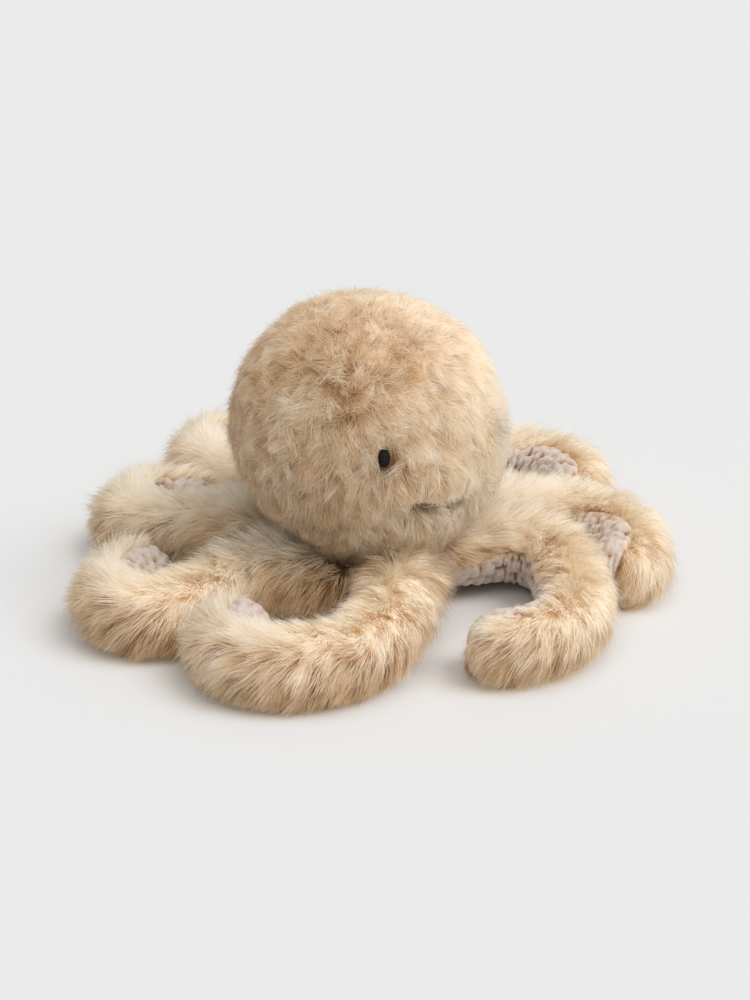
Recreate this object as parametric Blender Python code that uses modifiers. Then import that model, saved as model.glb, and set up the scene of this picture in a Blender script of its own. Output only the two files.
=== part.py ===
"""Plush octopus: a stuffed fur ball on a small base, with eight curled arms sewn round its neck.

Metres, +Z up. The origin is the middle of the underside, on the floor, and the face looks along -Y.
Each arm is a strip of fur closed underneath by a strip of fleece and filled with stuffing. It hangs
from a hinge at its sewn root, beside the neck.
"""

import math
from typing import NamedTuple

import bmesh
import bpy
from mathutils import Vector

# Head and neck
HEAD_RADIUS = 0.053
HEAD_LIFT = 0.018            # under the ball, above the floor
HEAD_HEIGHT = HEAD_RADIUS + HEAD_LIFT
NECK_RADIUS = 0.022
BASE_THICKNESS = 0.0025
BASE_EDGE = 0.0006           # rounding of the base panel's edge
MERGE_DISTANCE = 0.00001     # joins the turned head at its poles

# Sheets and sewing
FUR_SHEET = 0.002            # backing with the dense foot of the pile
SEWN_GAP = 0.0003            # between pieces that touch
SEAM_GAP = 0.0004            # along the two seams of an arm

# Arms
ARM_RADIUS = 0.0125
ARM_ROOT_RADIUS = 0.0095
ARM_TIP_RADIUS = 0.0115
ARM_LENGTH = 0.136           # from the middle of the root ball to the middle of the tip ball
ARM_HINGE_HEIGHT = 0.0155
ARM_RISE = 0.005             # of the arched root, over an arm that lies flat
FLOOR_GAP = 0.0002           # under an arm at rest

# Face
EYE_WIDTH = 0.005
EYE_HEIGHT = 0.0082
EYE_THICKNESS = 0.0012
THREAD_RADIUS = 0.0006

# Angles in degrees
EYE_BEARING = 30             # to either side of the face's middle
EYE_RISE = 8.5
MOUTH_BEARING = 15
MOUTH_CORNER_RISE = -15
MOUTH_MIDDLE_RISE = -17.5
FLEECE_HALF_ANGLE = 60       # half of the arm's girth that the fleece closes
BEND_PER_RING = 30
ROOT_CAP_ANGLES = (80, 40)
TIP_CAP_ANGLES = (22, 50, 78)
FILL_ROOT_CAP_ANGLES = (70, 35)
FILL_TIP_CAP_ANGLES = (35, 70)

# Counts
HEAD_SIDES = 28
HEAD_RINGS = 13
FUR_FACETS = 7
FLEECE_FACETS = 4
FILL_BEVEL_RESOLUTION = 2
EYE_SEGMENTS = 14
EYE_RINGS = 9
MOUTH_POINTS = 9
MOUTH_BEVEL_RESOLUTION = 2
ARC_PARTS = 12               # short steps along each arc, when its end is found

# An arm's girth swells from its root and tapers to its tip: share of its length, share of its fullness
GIRTH_SHARES = ((0.0, 0.0), (0.06, 0.6), (0.14, 0.9), (0.45, 1.0), (0.85, 0.9), (1.0, 0.67))
# The fleece faces down at the root and rolls to the inside of the curl: share of length, degrees
ROLL_SHARES = ((0.0, 42), (0.35, 52), (0.6, 78), (0.85, 118), (1.0, 130))
# The arm arches up beside the neck, then comes down to the floor: share of length, share of ARM_RISE
RISE_SHARES = ((0.0, 0.0), (0.07, 0.62), (0.14, 1.0), (0.24, 0.8), (0.36, 0.35), (0.48, 0.08),
               (0.56, 0.0), (1.0, 0.0))


class ArmRoute(NamedTuple):
    """How one arm lies: seven equal stretches, each an arc."""

    bearing: float           # of the root, round the neck from +X, in degrees
    heading: float           # of the first stretch, off the bearing, in degrees
    bends: tuple             # turn of each stretch, in degrees, to the left
    length_share: float      # of ARM_LENGTH, as the filling draws it up


ARM_ROUTES = (
    ArmRoute(-104, -22, (-6, -11, -19, -31, -33, -50, -58), 1.0),
    ArmRoute(-156, -52, (-9, 31, 25, -32, -71, -49, -37), 0.94),
    ArmRoute(152, -8, (-52, 19, 40, -40, -71, -64, -54), 0.93),
    ArmRoute(114, -34, (-5, 3, 19, 5, -35, -52, -49), 0.93),
    ArmRoute(72, -19, (9, 8, 0, -17, -40, -56, -59), 0.95),
    ArmRoute(30, 5, (3, -4, -18, -31, -38, -39, -36), 0.99),
    ArmRoute(-11, 27, (-24, -3, -24, -30, -30, -27, -31), 0.88),
    ArmRoute(-56, 45, (-1, -48, -55, -10, -14, -36, -36), 1.0),
)

NECK_TOP = HEAD_HEIGHT - math.sqrt(HEAD_RADIUS ** 2 - NECK_RADIUS ** 2)
NECK_FOOT = BASE_THICKNESS + SEWN_GAP
FILL_INSET = FUR_SHEET + SEWN_GAP
HINGE_RADIUS = NECK_RADIUS + SEWN_GAP + ARM_ROOT_RADIUS
SHEET_SHARE = FUR_SHEET / ARM_RADIUS


def start_scene():
    """Empties the scene and returns the collections for the octopus and for its guides."""
    for old in list(bpy.data.objects):
        bpy.data.objects.remove(old, do_unlink=True)
    collections = []
    for name in ("plush_octopus", "guides"):
        collection = bpy.data.collections.new(name)
        bpy.context.scene.collection.children.link(collection)
        collections.append(collection)
    return collections


def make_material(name, colour, roughness):
    """Makes a cloth material with one colour."""
    material = bpy.data.materials.new(name)
    material.use_nodes = True
    shader = material.node_tree.nodes["Principled BSDF"]
    shader.inputs["Base Color"].default_value = (*colour, 1.0)
    shader.inputs["Roughness"].default_value = roughness
    shader.inputs["Metallic"].default_value = 0.0
    return material


def add_object(name, data, collection, material=None, parent=None):
    """Links a new object, with its material and its parent."""
    item = bpy.data.objects.new(name, data)
    collection.objects.link(item)
    if material:
        data.materials.append(material)
    item.parent = parent
    return item


def polar(radius, degrees):
    """A point on a circle, measured from straight down towards +X."""
    angle = math.radians(degrees)
    return radius * math.sin(angle), -radius * math.cos(angle)


def ramp(table, share):
    """Reads a table of (share, value) pairs, with straight lines between its rows."""
    for (start, low), (end, high) in zip(table, table[1:]):
        if share <= end:
            return low + (high - low) * (share - start) / (end - start)
    return table[-1][1]


def head_profile(inset, closed):
    """The head's outline from its crown to the foot of its neck, drawn in by an inset."""
    ball = HEAD_RADIUS - inset
    neck = NECK_RADIUS - inset
    turn = math.pi - math.asin(neck / ball)
    points = []
    for ring in range(HEAD_RINGS + 1):
        angle = turn * ring / HEAD_RINGS
        points.append((ball * math.sin(angle), HEAD_HEIGHT + ball * math.cos(angle)))
    points.append((neck, NECK_FOOT))
    if closed:
        points.append((0.0, NECK_FOOT))
    return points


def turned(name, profile, collection, material):
    """Turns a profile in the XZ plane about Z."""
    mesh = bpy.data.meshes.new(name)
    shape = bmesh.new()
    corners = [shape.verts.new((x, 0.0, z)) for x, z in profile]
    for first, second in zip(corners, corners[1:]):
        shape.edges.new((first, second))
    shape.to_mesh(mesh)
    shape.free()
    item = add_object(name, mesh, collection, material)
    screw = item.modifiers.new("turn", "SCREW")
    screw.steps = HEAD_SIDES
    screw.render_steps = HEAD_SIDES
    screw.use_merge_vertices = True
    screw.merge_threshold = MERGE_DISTANCE
    screw.use_smooth_shade = True
    return item


def build_head(collection, fur, filling, fleece):
    """Cover, filling and base panel of the head."""
    cover = turned("head_cover", head_profile(0.0, False), collection, fur)
    wall = cover.modifiers.new("sheet", "SOLIDIFY")
    wall.thickness = FUR_SHEET
    wall.offset = -1.0
    wall.use_even_offset = True
    turned("head_stuffing", head_profile(FILL_INSET, True), collection, filling)
    bpy.ops.mesh.primitive_cylinder_add(vertices=HEAD_SIDES, radius=NECK_RADIUS,
                                        depth=BASE_THICKNESS,
                                        location=(0.0, 0.0, BASE_THICKNESS / 2))
    panel = bpy.context.object
    panel.name = "base_panel"
    for owner in panel.users_collection:
        owner.objects.unlink(panel)
    collection.objects.link(panel)
    panel.data.materials.append(fleece)
    rounding = panel.modifiers.new("edge", "BEVEL")
    rounding.width = BASE_EDGE
    rounding.segments = 1


def on_head(bearing, rise, radius):
    """A point over the head, by its bearing off the face's middle and its rise, in degrees."""
    side, up = math.radians(bearing), math.radians(rise)
    return Vector((radius * math.sin(side) * math.cos(up),
                   -radius * math.cos(side) * math.cos(up),
                   HEAD_HEIGHT + radius * math.sin(up)))


def build_eye(name, bearing, collection, thread):
    """An oval of stitches with a flat back, laid on the cover. Its own +Y points into the head."""
    shape = bmesh.new()
    bmesh.ops.create_uvsphere(shape, u_segments=EYE_SEGMENTS, v_segments=EYE_RINGS,
                              radius=EYE_HEIGHT / 2)
    bmesh.ops.scale(shape, vec=(EYE_WIDTH / EYE_HEIGHT, 2 * EYE_THICKNESS / EYE_HEIGHT, 1.0),
                    verts=shape.verts)
    cut = bmesh.ops.bisect_plane(shape, geom=shape.verts[:] + shape.edges[:] + shape.faces[:],
                                 plane_co=(0.0, 0.0, 0.0), plane_no=(0.0, 1.0, 0.0),
                                 clear_outer=True)
    rim = [item for item in cut["geom_cut"] if isinstance(item, bmesh.types.BMEdge)]
    bmesh.ops.contextual_create(shape, geom=rim)
    bmesh.ops.recalc_face_normals(shape, faces=shape.faces)
    mesh = bpy.data.meshes.new(name)
    shape.to_mesh(mesh)
    shape.free()
    mesh.shade_smooth()
    eye = add_object(name, mesh, collection, thread)
    eye.location = on_head(bearing, EYE_RISE, HEAD_RADIUS + SEWN_GAP)
    eye.rotation_euler = (math.radians(-EYE_RISE), 0.0, math.radians(bearing))


def build_mouth(collection, thread):
    """A shallow smile: one thread laid on the cover."""
    curve = bpy.data.curves.new("mouth_stitching", "CURVE")
    curve.dimensions = "3D"
    curve.bevel_depth = THREAD_RADIUS
    curve.bevel_resolution = MOUTH_BEVEL_RESOLUTION
    curve.use_fill_caps = True
    line = curve.splines.new("POLY")
    line.points.add(MOUTH_POINTS - 1)
    for step, point in enumerate(line.points):
        across = 2 * step / (MOUTH_POINTS - 1) - 1
        rise = MOUTH_MIDDLE_RISE + (MOUTH_CORNER_RISE - MOUTH_MIDDLE_RISE) * across ** 2
        place = on_head(MOUTH_BEARING * across, rise, HEAD_RADIUS + SEWN_GAP + THREAD_RADIUS)
        point.co = (*place, 1.0)
    add_object("mouth_stitching", curve, collection, thread)


class Station(NamedTuple):
    """A place along an arm: distance from the hinge, radius, and the share of the arm's length."""

    distance: float
    radius: float
    share: float


def girth(share):
    """The arm's radius at a share of its length, swelling between its two ends."""
    ends = ARM_ROOT_RADIUS + (ARM_TIP_RADIUS - ARM_ROOT_RADIUS) * share
    return ends + (ARM_RADIUS - ends) * ramp(GIRTH_SHARES, share)


def arm_stations(route, root, tip, root_angles, tip_angles, shrink):
    """Stations along an arm whose ends are balls of radius root and tip.

    shrink turns the arm's radius at a share of its length into the wanted one.
    """
    length = ARM_LENGTH * route.length_share
    rows = [Station(-root * math.sin(math.radians(a)), root * math.cos(math.radians(a)), 0.0)
            for a in root_angles]
    rows.append(Station(0.0, root, 0.0))
    for stretch, bend in enumerate(route.bends):
        rings = max(1, math.ceil(abs(bend) / BEND_PER_RING))
        for ring in range(1, rings + 1):
            share = (stretch + ring / rings) / len(route.bends)
            rows.append(Station(length * share, shrink(girth(share)), share))
    rows[-1] = Station(length, tip, 1.0)
    rows += [Station(length + tip * math.sin(math.radians(a)), tip * math.cos(math.radians(a)), 1.0)
             for a in tip_angles]
    return rows


def arm_heading(route, share):
    """The way the arm runs at a share of its length, in radians off its bearing."""
    heading = route.heading
    for stretch, bend in enumerate(route.bends):
        heading += bend * min(1.0, max(0.0, share * len(route.bends) - stretch))
    return math.radians(heading)


def arm_point(route, station):
    """A station's place in the arm's own frame: X outwards along its bearing, Z up."""
    length = ARM_LENGTH * route.length_share
    parts = ARC_PARTS * len(route.bends)
    place = Vector((0.0, 0.0, 0.0))
    reach = station.share * parts
    for part in range(math.ceil(reach)):
        span = min(1.0, reach - part)
        heading = arm_heading(route, (part + span / 2) / parts)
        place += Vector((math.cos(heading), math.sin(heading), 0.0)) * (length * span / parts)
    beyond = station.distance - length * station.share
    heading = arm_heading(route, station.share)
    place += Vector((math.cos(heading), math.sin(heading), 0.0)) * beyond
    lying = girth(station.share) + FLOOR_GAP
    sink = min(1.0, station.share * len(route.bends))
    place.z = (lying - ARM_HINGE_HEIGHT) * sink + ARM_RISE * ramp(RISE_SHARES, station.share)
    return place


def sweep(name, route, stations, collection, material, hinge):
    """A curve through the stations, with each one's radius in metres and the arm's roll."""
    curve = bpy.data.curves.new(name, "CURVE")
    curve.dimensions = "3D"
    curve.twist_mode = "Z_UP"
    curve.use_fill_caps = True
    line = curve.splines.new("POLY")
    line.points.add(len(stations) - 1)
    for point, station in zip(line.points, stations):
        point.co = (*arm_point(route, station), 1.0)
        point.radius = station.radius / ARM_RADIUS
        point.tilt = -math.radians(ramp(ROLL_SHARES, station.share))
    return add_object(name, curve, collection, material, hinge)


def sheet_section(name, start, end, facets, collection):
    """A guide: the cross-section of a sheet that wraps part of the arm's girth.

    start and end are angles in degrees from straight down. The seam gap is left at both.
    """
    gap = math.degrees(SEAM_GAP / 2 / ARM_RADIUS)
    start, end = start + gap, end - gap
    angles = [start + (end - start) * step / facets for step in range(facets + 1)]
    outer = [polar(ARM_RADIUS, angle) for angle in angles]
    inner = [polar(ARM_RADIUS - FUR_SHEET, angle) for angle in reversed(angles)]
    curve = bpy.data.curves.new(name, "CURVE")
    curve.dimensions = "2D"
    curve.fill_mode = "NONE"
    line = curve.splines.new("POLY")
    corners = list(reversed(outer + inner))
    line.points.add(len(corners) - 1)
    for point, (x, y) in zip(line.points, corners):
        point.co = (x, y, 0.0, 1.0)
    line.use_cyclic_u = True
    guide = add_object(name, curve, collection)
    guide.hide_render = True
    guide.display_type = "WIRE"
    return guide


def build_arm(number, route, sections, collection, fur, fleece, filling):
    """One arm: fur strip, fleece strip and filling, on an empty at its hinge."""
    bearing = math.radians(route.bearing)
    hinge = add_object(f"arm_{number}_hinge", None, collection)
    hinge.location = (HINGE_RADIUS * math.cos(bearing), HINGE_RADIUS * math.sin(bearing),
                      ARM_HINGE_HEIGHT)
    hinge.rotation_euler = (0.0, 0.0, bearing)
    cover = arm_stations(route, ARM_ROOT_RADIUS, ARM_TIP_RADIUS, ROOT_CAP_ANGLES, TIP_CAP_ANGLES,
                         lambda radius: radius)
    for piece, section, material in (("fur", sections[0], fur), ("fleece", sections[1], fleece)):
        strip = sweep(f"arm_{number}_{piece}", route, cover, collection, material, hinge)
        strip.data.bevel_mode = "OBJECT"
        strip.data.bevel_object = section
    facet = max((360 - 2 * FLEECE_HALF_ANGLE) / FUR_FACETS, 2 * FLEECE_HALF_ANGLE / FLEECE_FACETS)
    flat_share = math.cos(math.radians(facet / 2)) * (1 - SHEET_SHARE)

    def inside(radius):
        return radius * flat_share - SEWN_GAP

    fill = arm_stations(route, inside(ARM_ROOT_RADIUS), inside(ARM_TIP_RADIUS),
                        FILL_ROOT_CAP_ANGLES, FILL_TIP_CAP_ANGLES, inside)
    core = sweep(f"arm_{number}_stuffing", route, fill, collection, filling, hinge)
    core.data.bevel_depth = ARM_RADIUS
    core.data.bevel_resolution = FILL_BEVEL_RESOLUTION


def main():
    """Builds the whole octopus."""
    octopus, guides = start_scene()
    fur = make_material("sand_fur", (0.74, 0.56, 0.36), 0.95)
    fleece = make_material("cream_fleece", (0.76, 0.67, 0.62), 0.95)
    filling = make_material("polyester_filling", (0.92, 0.92, 0.90), 1.0)
    thread = make_material("black_thread", (0.012, 0.011, 0.010), 0.6)

    build_head(octopus, fur, filling, fleece)
    build_eye("eye_right", -EYE_BEARING, octopus, thread)
    build_eye("eye_left", EYE_BEARING, octopus, thread)
    build_mouth(octopus, thread)

    sections = (
        sheet_section("fur_section", FLEECE_HALF_ANGLE, 360 - FLEECE_HALF_ANGLE, FUR_FACETS, guides),
        sheet_section("fleece_section", -FLEECE_HALF_ANGLE, FLEECE_HALF_ANGLE, FLEECE_FACETS, guides),
    )
    for number, route in enumerate(ARM_ROUTES, start=1):
        build_arm(number, route, sections, octopus, fur, fleece, filling)


main()
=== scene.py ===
"""Dresses the plush octopus: long sandy pile, bobbly fleece, a stitched face, and a pale studio.

Metres, +Z up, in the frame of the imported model. The pile is made of thin tapered hairs that grow
from the skins in locks, flow over the surface, part round the eyes and lie down on the floor.
"""

from __future__ import annotations

import logging
import math
from dataclasses import dataclass, field, replace
from enum import Enum

import bmesh
import bpy
import numpy as np
from mathutils import Matrix, Vector


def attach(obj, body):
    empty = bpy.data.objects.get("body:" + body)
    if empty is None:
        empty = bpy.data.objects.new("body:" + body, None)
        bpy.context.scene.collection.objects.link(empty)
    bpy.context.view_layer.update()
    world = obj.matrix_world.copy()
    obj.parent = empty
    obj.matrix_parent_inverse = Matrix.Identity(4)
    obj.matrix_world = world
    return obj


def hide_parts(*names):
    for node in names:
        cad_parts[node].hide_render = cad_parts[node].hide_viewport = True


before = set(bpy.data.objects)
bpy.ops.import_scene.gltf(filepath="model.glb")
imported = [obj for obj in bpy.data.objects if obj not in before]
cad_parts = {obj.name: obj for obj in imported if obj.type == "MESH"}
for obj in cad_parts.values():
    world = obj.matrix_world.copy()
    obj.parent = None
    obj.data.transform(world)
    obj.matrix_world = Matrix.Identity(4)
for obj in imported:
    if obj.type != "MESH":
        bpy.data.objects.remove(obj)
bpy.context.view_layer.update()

LOG = logging.getLogger("plush_octopus")
Array = np.ndarray
UP = np.array((0.0, 0.0, 1.0))
Z_UP = Vector(UP)
BAKE_MAP = "OFBake"
CREST = "crest"


def unit(vectors: Array) -> Array:
    """Vectors at length one."""
    return vectors / np.maximum(np.linalg.norm(vectors, axis=-1, keepdims=True), 1e-12)


def dot(first: Array, second: Array) -> Array:
    """Row by row dot product, kept as a column."""
    return (first * second).sum(axis=-1, keepdims=True)


def in_surface(vectors: Array, normals: Array) -> Array:
    """The part of vectors that runs in the surface with these normals."""
    return vectors - dot(vectors, normals) * normals


def turned(vectors: Array, normals: Array, angles: Array) -> Array:
    """Vectors of the surface, turned about its normals by angles in radians."""
    angles = angles[:, None]
    return vectors * np.cos(angles) + np.cross(normals, vectors) * np.sin(angles)


def hump(distance: Array, reach: float) -> Array:
    """A smooth hump, 1 at distance 0, that has gone by about twice its reach."""
    return np.exp(-(distance / reach) ** 2)


def ease(values: Array, target: Array | float, share: Array) -> None:
    """Moves values a share of the way to a target, in place."""
    values += (target - values) * share


def towards(bearing: float, rise: float) -> Array:
    """Works out a direction from two angles in degrees.

    Args:
        bearing: off the way that the face looks, -Y, to its left.
        rise: above the horizontal.

    Returns:
        A unit vector.
    """
    turn, lift = math.radians(bearing), math.radians(rise)
    flat = math.cos(lift)
    return np.array((math.sin(turn) * flat, -math.cos(turn) * flat, math.sin(lift)))


def linear(red: float, green: float, blue: float) -> tuple[float, float, float, float]:
    """Turns a display colour into the linear one that a shader takes.

    Args:
        red: from 0 to 255, as are the next two.
        green: the green share.
        blue: the blue share.

    Returns:
        Linear red, green and blue from 0 to 1, and full opacity.
    """
    shares = np.array((red, green, blue)) / 255.0
    curved = ((shares + 0.055) / 1.055) ** 2.4
    return *np.where(shares <= 0.04045, shares / 12.92, curved).tolist(), 1.0


@dataclass(frozen=True)
class Ripples:
    """A smooth random field over space, made of plane waves."""

    wavelength: float
    seed: int
    waves: int = 14
    spread: tuple[float, float] = (0.6, 1.5)

    def at(self, points: Array) -> Array:
        """Works out the field, of about unit spread.

        Args:
            points: rows of X, Y and Z.

        Returns:
            One value for each point.
        """
        rng = np.random.default_rng(self.seed)
        ways = unit(rng.normal(size=(self.waves, 3)))
        ways *= 2.0 * np.pi / self.wavelength * rng.uniform(*self.spread, (self.waves, 1))
        phases = rng.uniform(0.0, 2.0 * np.pi, self.waves)
        return np.sin(points @ ways.T + phases).sum(axis=1) / math.sqrt(self.waves / 2.0)

    def vector(self, points: Array) -> Array:
        """A vector field of the same kind."""
        return np.stack([replace(self, seed=self.seed + step).at(points)
                         for step in (101, 202, 303)], axis=1)


class Weaver:
    """Adds nodes to a new material and links them."""

    def __init__(self, name: str) -> None:
        """Starts a material with its Principled shader.

        Args:
            name: the material's name.
        """
        self.material = bpy.data.materials.new(name)
        self.material.use_nodes = True
        self.tree = self.material.node_tree
        self.shader = self.tree.nodes["Principled BSDF"]

    def feed(self, socket: bpy.types.NodeSocket, value: object) -> None:
        """Links a socket, or sets its own value.

        Args:
            socket: the input.
            value: another node's output, or a plain value.
        """
        if isinstance(value, bpy.types.NodeSocket):
            self.tree.links.new(value, socket)
        else:
            socket.default_value = value

    def dress(self, inputs: dict[str, object]) -> None:
        """Feeds the shader's own sockets, by name."""
        for name, value in inputs.items():
            self.feed(self.shader.inputs[name], value)

    def node(self, kind: str, inputs: dict | None = None, **settings: object) -> bpy.types.Node:
        """Adds a node.

        Args:
            kind: the node's type name.
            inputs: values or sockets for its inputs, by name or number.
            settings: properties of the node.

        Returns:
            The node.
        """
        made = self.tree.nodes.new(kind)
        for name, value in settings.items():
            setattr(made, name, value)
        for socket, value in (inputs or {}).items():
            self.feed(made.inputs[socket], value)
        return made

    def ramp(self, factor: bpy.types.NodeSocket, stops: tuple) -> bpy.types.NodeSocket:
        """Colours along a factor.

        Args:
            factor: what picks the colour.
            stops: (position, display colour) rows.

        Returns:
            The colour socket.
        """
        made = self.node("ShaderNodeValToRGB", {0: factor})
        elements = made.color_ramp.elements
        while len(elements) < len(stops):
            elements.new(0.5)
        for element, (position, colour) in zip(elements, stops):
            element.position = position
            element.color = linear(*colour)
        return made.outputs[0]

    def mix(self, factor: object, first: object, second: object,
            blend: str = "MIX") -> bpy.types.NodeSocket:
        """Mixes two colours.

        Args:
            factor: the share of the second.
            first: the first colour.
            second: the second colour, or a grey to multiply by.
            blend: how the second meets the first.

        Returns:
            The colour socket.
        """
        made = self.node("ShaderNodeMix", data_type="RGBA", blend_type=blend)
        for socket, value in zip((0, 6, 7), (factor, first, second)):
            self.feed(made.inputs[socket], value)
        return made.outputs[2]

    def between(self, factor: object, first: tuple, second: tuple) -> bpy.types.NodeSocket:
        """Two display colours mixed by a factor."""
        return self.mix(factor, linear(*first), linear(*second))

    def times(self, colour: object, factor: object) -> bpy.types.NodeSocket:
        """A colour made lighter or darker by a factor."""
        return self.mix(1.0, colour, factor, "MULTIPLY")

    def either(self, factor: object, first: object, second: object) -> bpy.types.NodeSocket:
        """Two shaders mixed by a factor."""
        return self.node("ShaderNodeMixShader", {0: factor, 1: first, 2: second}).outputs[0]

    def scaled(self, value: object, low: float, high: float) -> bpy.types.NodeSocket:
        """A value from 0 to 1, mapped onto low to high."""
        return self.node("ShaderNodeMapRange", {0: value, 3: low, 4: high}).outputs[0]

    def noise(self, vector: object, scale: float, detail: float = 2.0) -> bpy.types.NodeSocket:
        """Noise over a vector."""
        return self.node("ShaderNodeTexNoise",
                         {"Vector": vector, "Scale": scale, "Detail": detail}).outputs[0]

    def bump(self, height: object, distance: float, strength: float) -> None:
        """Gives the shader a bump.

        Args:
            height: what stands up.
            distance: how far, in metres.
            strength: from 0 to 1.
        """
        made = self.node("ShaderNodeBump",
                         {"Height": height, "Distance": distance, "Strength": strength})
        self.dress({"Normal": made.outputs[0]})

    def place(self) -> bpy.types.NodeSocket:
        """Object coordinates."""
        return self.node("ShaderNodeTexCoord").outputs["Object"]

    def bake_map(self) -> bpy.types.NodeSocket:
        """The piece's own UV map."""
        return self.node("ShaderNodeUVMap", uv_map=BAKE_MAP).outputs[0]


@dataclass(frozen=True)
class Finish:
    """What every finish of the octopus has: its gloss, its sheen and its relief."""

    name: str = ""
    roughness: tuple[float, float] = (0.8, 1.0)
    specular: float = 0.5
    sheen: float = 0.0
    sheen_roughness: float = 0.5
    sheen_tint: tuple = (255, 255, 255)
    relief: tuple[float, float] = (0.0005, 0.5)

    def material(self) -> bpy.types.Material:
        """Builds the material.

        Returns:
            The material.
        """
        weave = Weaver(self.name)
        colour, wear, height = self.look(weave)
        weave.dress({"Base Color": colour, "Roughness": weave.scaled(wear, *self.roughness),
                     "Specular IOR Level": self.specular, "Sheen Weight": self.sheen,
                     "Sheen Roughness": self.sheen_roughness,
                     "Sheen Tint": linear(*self.sheen_tint)})
        weave.bump(height, *self.relief)
        return weave.material

    def look(self, weave: Weaver) -> tuple[bpy.types.NodeSocket, ...]:
        """Adds a finish's own nodes, and gives its colour, its wear and its height."""
        raise NotImplementedError


@dataclass(frozen=True)
class PileFinish(Finish):
    """Hairs that pale from a brown root to a cream tip; the brown root is partly the pile's own colour
    and partly painted shade deep in the pile. U is a hair's tint and V runs along it.
    """

    name: str = "sand_pile"
    # The brown towards the root is partly the pile's own colour and partly painted shade deep in the
    # pile.
    pale: tuple = ((0.0, (205, 158, 106)), (0.25, (232, 204, 166)), (0.5, (243, 231, 210)),
                   (0.75, (248, 240, 226)), (1.0, (250, 246, 238)))
    brown: tuple = ((0.0, (128, 80, 40)), (0.3, (168, 120, 74)), (0.6, (208, 172, 126)),
                    (0.85, (238, 213, 177)), (1.0, (249, 235, 210)))
    streaks: tuple[float, float, float] = (90.0, 3.0, 1.0)
    grain: tuple[float, float] = (0.8, 1.16)
    roughness: tuple[float, float] = (0.66, 0.9)
    specular: float = 0.25
    sheen: float = 0.3
    sheen_roughness: float = 0.45
    sheen_tint: tuple = (255, 240, 215)
    relief: tuple[float, float] = (0.0001, 0.3)
    glow: float = 0.15
    veil: tuple = (250, 245, 237)

    def look(self, weave: Weaver) -> tuple[bpy.types.NodeSocket, ...]:
        """Streaks along each hair, over its tint. A little light goes through the hairs.

        Args:
            weave: takes the nodes.

        Returns:
            Its colour, its wear and its height.
        """
        place = weave.bake_map()
        parts = weave.node("ShaderNodeSeparateXYZ", {0: place}).outputs
        brown, pale = weave.ramp(parts[1], self.brown), weave.ramp(parts[1], self.pale)
        streaks = weave.node("ShaderNodeMapping", {"Vector": place, "Scale": self.streaks})
        grain = weave.noise(streaks.outputs[0], 1.0)
        colour = weave.times(weave.mix(parts[0], brown, pale), weave.scaled(grain, *self.grain))
        through = weave.node("ShaderNodeBsdfTranslucent", {"Color": colour})
        seen = weave.either(self.glow, weave.shader.outputs[0], through.outputs[0])
        thin = weave.node("ShaderNodeBsdfTransparent", {"Color": linear(*self.veil)})
        shadow = weave.node("ShaderNodeLightPath").outputs["Is Shadow Ray"]
        weave.feed(weave.tree.nodes["Material Output"].inputs["Surface"],
                   weave.either(shadow, seen, thin.outputs[0]))
        return colour, grain, grain


@dataclass(frozen=True)
class BackingFinish(Finish):
    """The knitted cloth that the pile stands in, seen only between its locks."""

    name: str = "knitted_backing"
    dark: tuple = (186, 144, 102)
    light: tuple = (218, 182, 142)
    loops: float = 900.0
    wear: tuple[float, float] = (160.0, 4.0)
    worn: tuple[float, float] = (0.75, 1.2)
    roughness: tuple[float, float] = (0.82, 1.0)
    relief: tuple[float, float] = (0.0004, 0.6)

    def look(self, weave: Weaver) -> tuple[bpy.types.NodeSocket, ...]:
        """Small loops, worn in patches.

        Args:
            weave: takes the nodes.

        Returns:
            Its colour, its wear and its height.
        """
        place = weave.place()
        loops = weave.node("ShaderNodeTexVoronoi", {"Vector": place, "Scale": self.loops})
        loop = loops.outputs["Distance"]
        worn = weave.noise(place, *self.wear)
        mixed = weave.between(loop, self.light, self.dark)
        return weave.times(mixed, weave.scaled(worn, *self.worn)), worn, loop


@dataclass(frozen=True)
class FleeceFinish(Finish):
    """Bobbly fleece: pale pinkish crests, brown painted shade in the pits, fine curls all over."""

    name: str = "cream_fleece"
    # Painted shade: the fleece is brown in the pits between the bobbles.
    painted_pit_shade: tuple = (164, 114, 90)
    slope: tuple = (238, 206, 189)
    crest: tuple = (250, 238, 229)
    heights: tuple[float, float, float] = (0.0, 0.38, 0.9)
    curls: tuple[float, float] = (1100.0, 5.0)
    fibres: tuple[float, float] = (2600.0, 3.0)
    patches: tuple[float, float] = (130.0, 3.0)
    curled: tuple[float, float] = (0.72, 1.18)
    patched: tuple[float, float] = (0.9, 1.07)
    specular: float = 0.2
    sheen: float = 0.4
    relief: tuple[float, float] = (0.0007, 0.9)

    def look(self, weave: Weaver) -> tuple[bpy.types.NodeSocket, ...]:
        """Fine curls over the bobbles, in light and dark patches.

        Args:
            weave: takes the nodes.

        Returns:
            Its colour, its wear and its height.
        """
        place = weave.place()
        height = weave.node("ShaderNodeAttribute", attribute_name=CREST).outputs["Fac"]
        curls, fibres, patches = (weave.noise(place, *wave)
                                  for wave in (self.curls, self.fibres, self.patches))
        # Brown in the pits and paler up to the crests: painted shade in the pits.
        base = weave.ramp(height, tuple(zip(self.heights, (self.painted_pit_shade, self.slope, self.crest))))
        curled = weave.times(base, weave.scaled(curls, *self.curled))
        both = weave.node("ShaderNodeMath", {0: curls, 1: fibres}, operation="ADD")
        colour = weave.times(curled, weave.scaled(patches, *self.patched))
        return colour, fibres, both.outputs[0]


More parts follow.
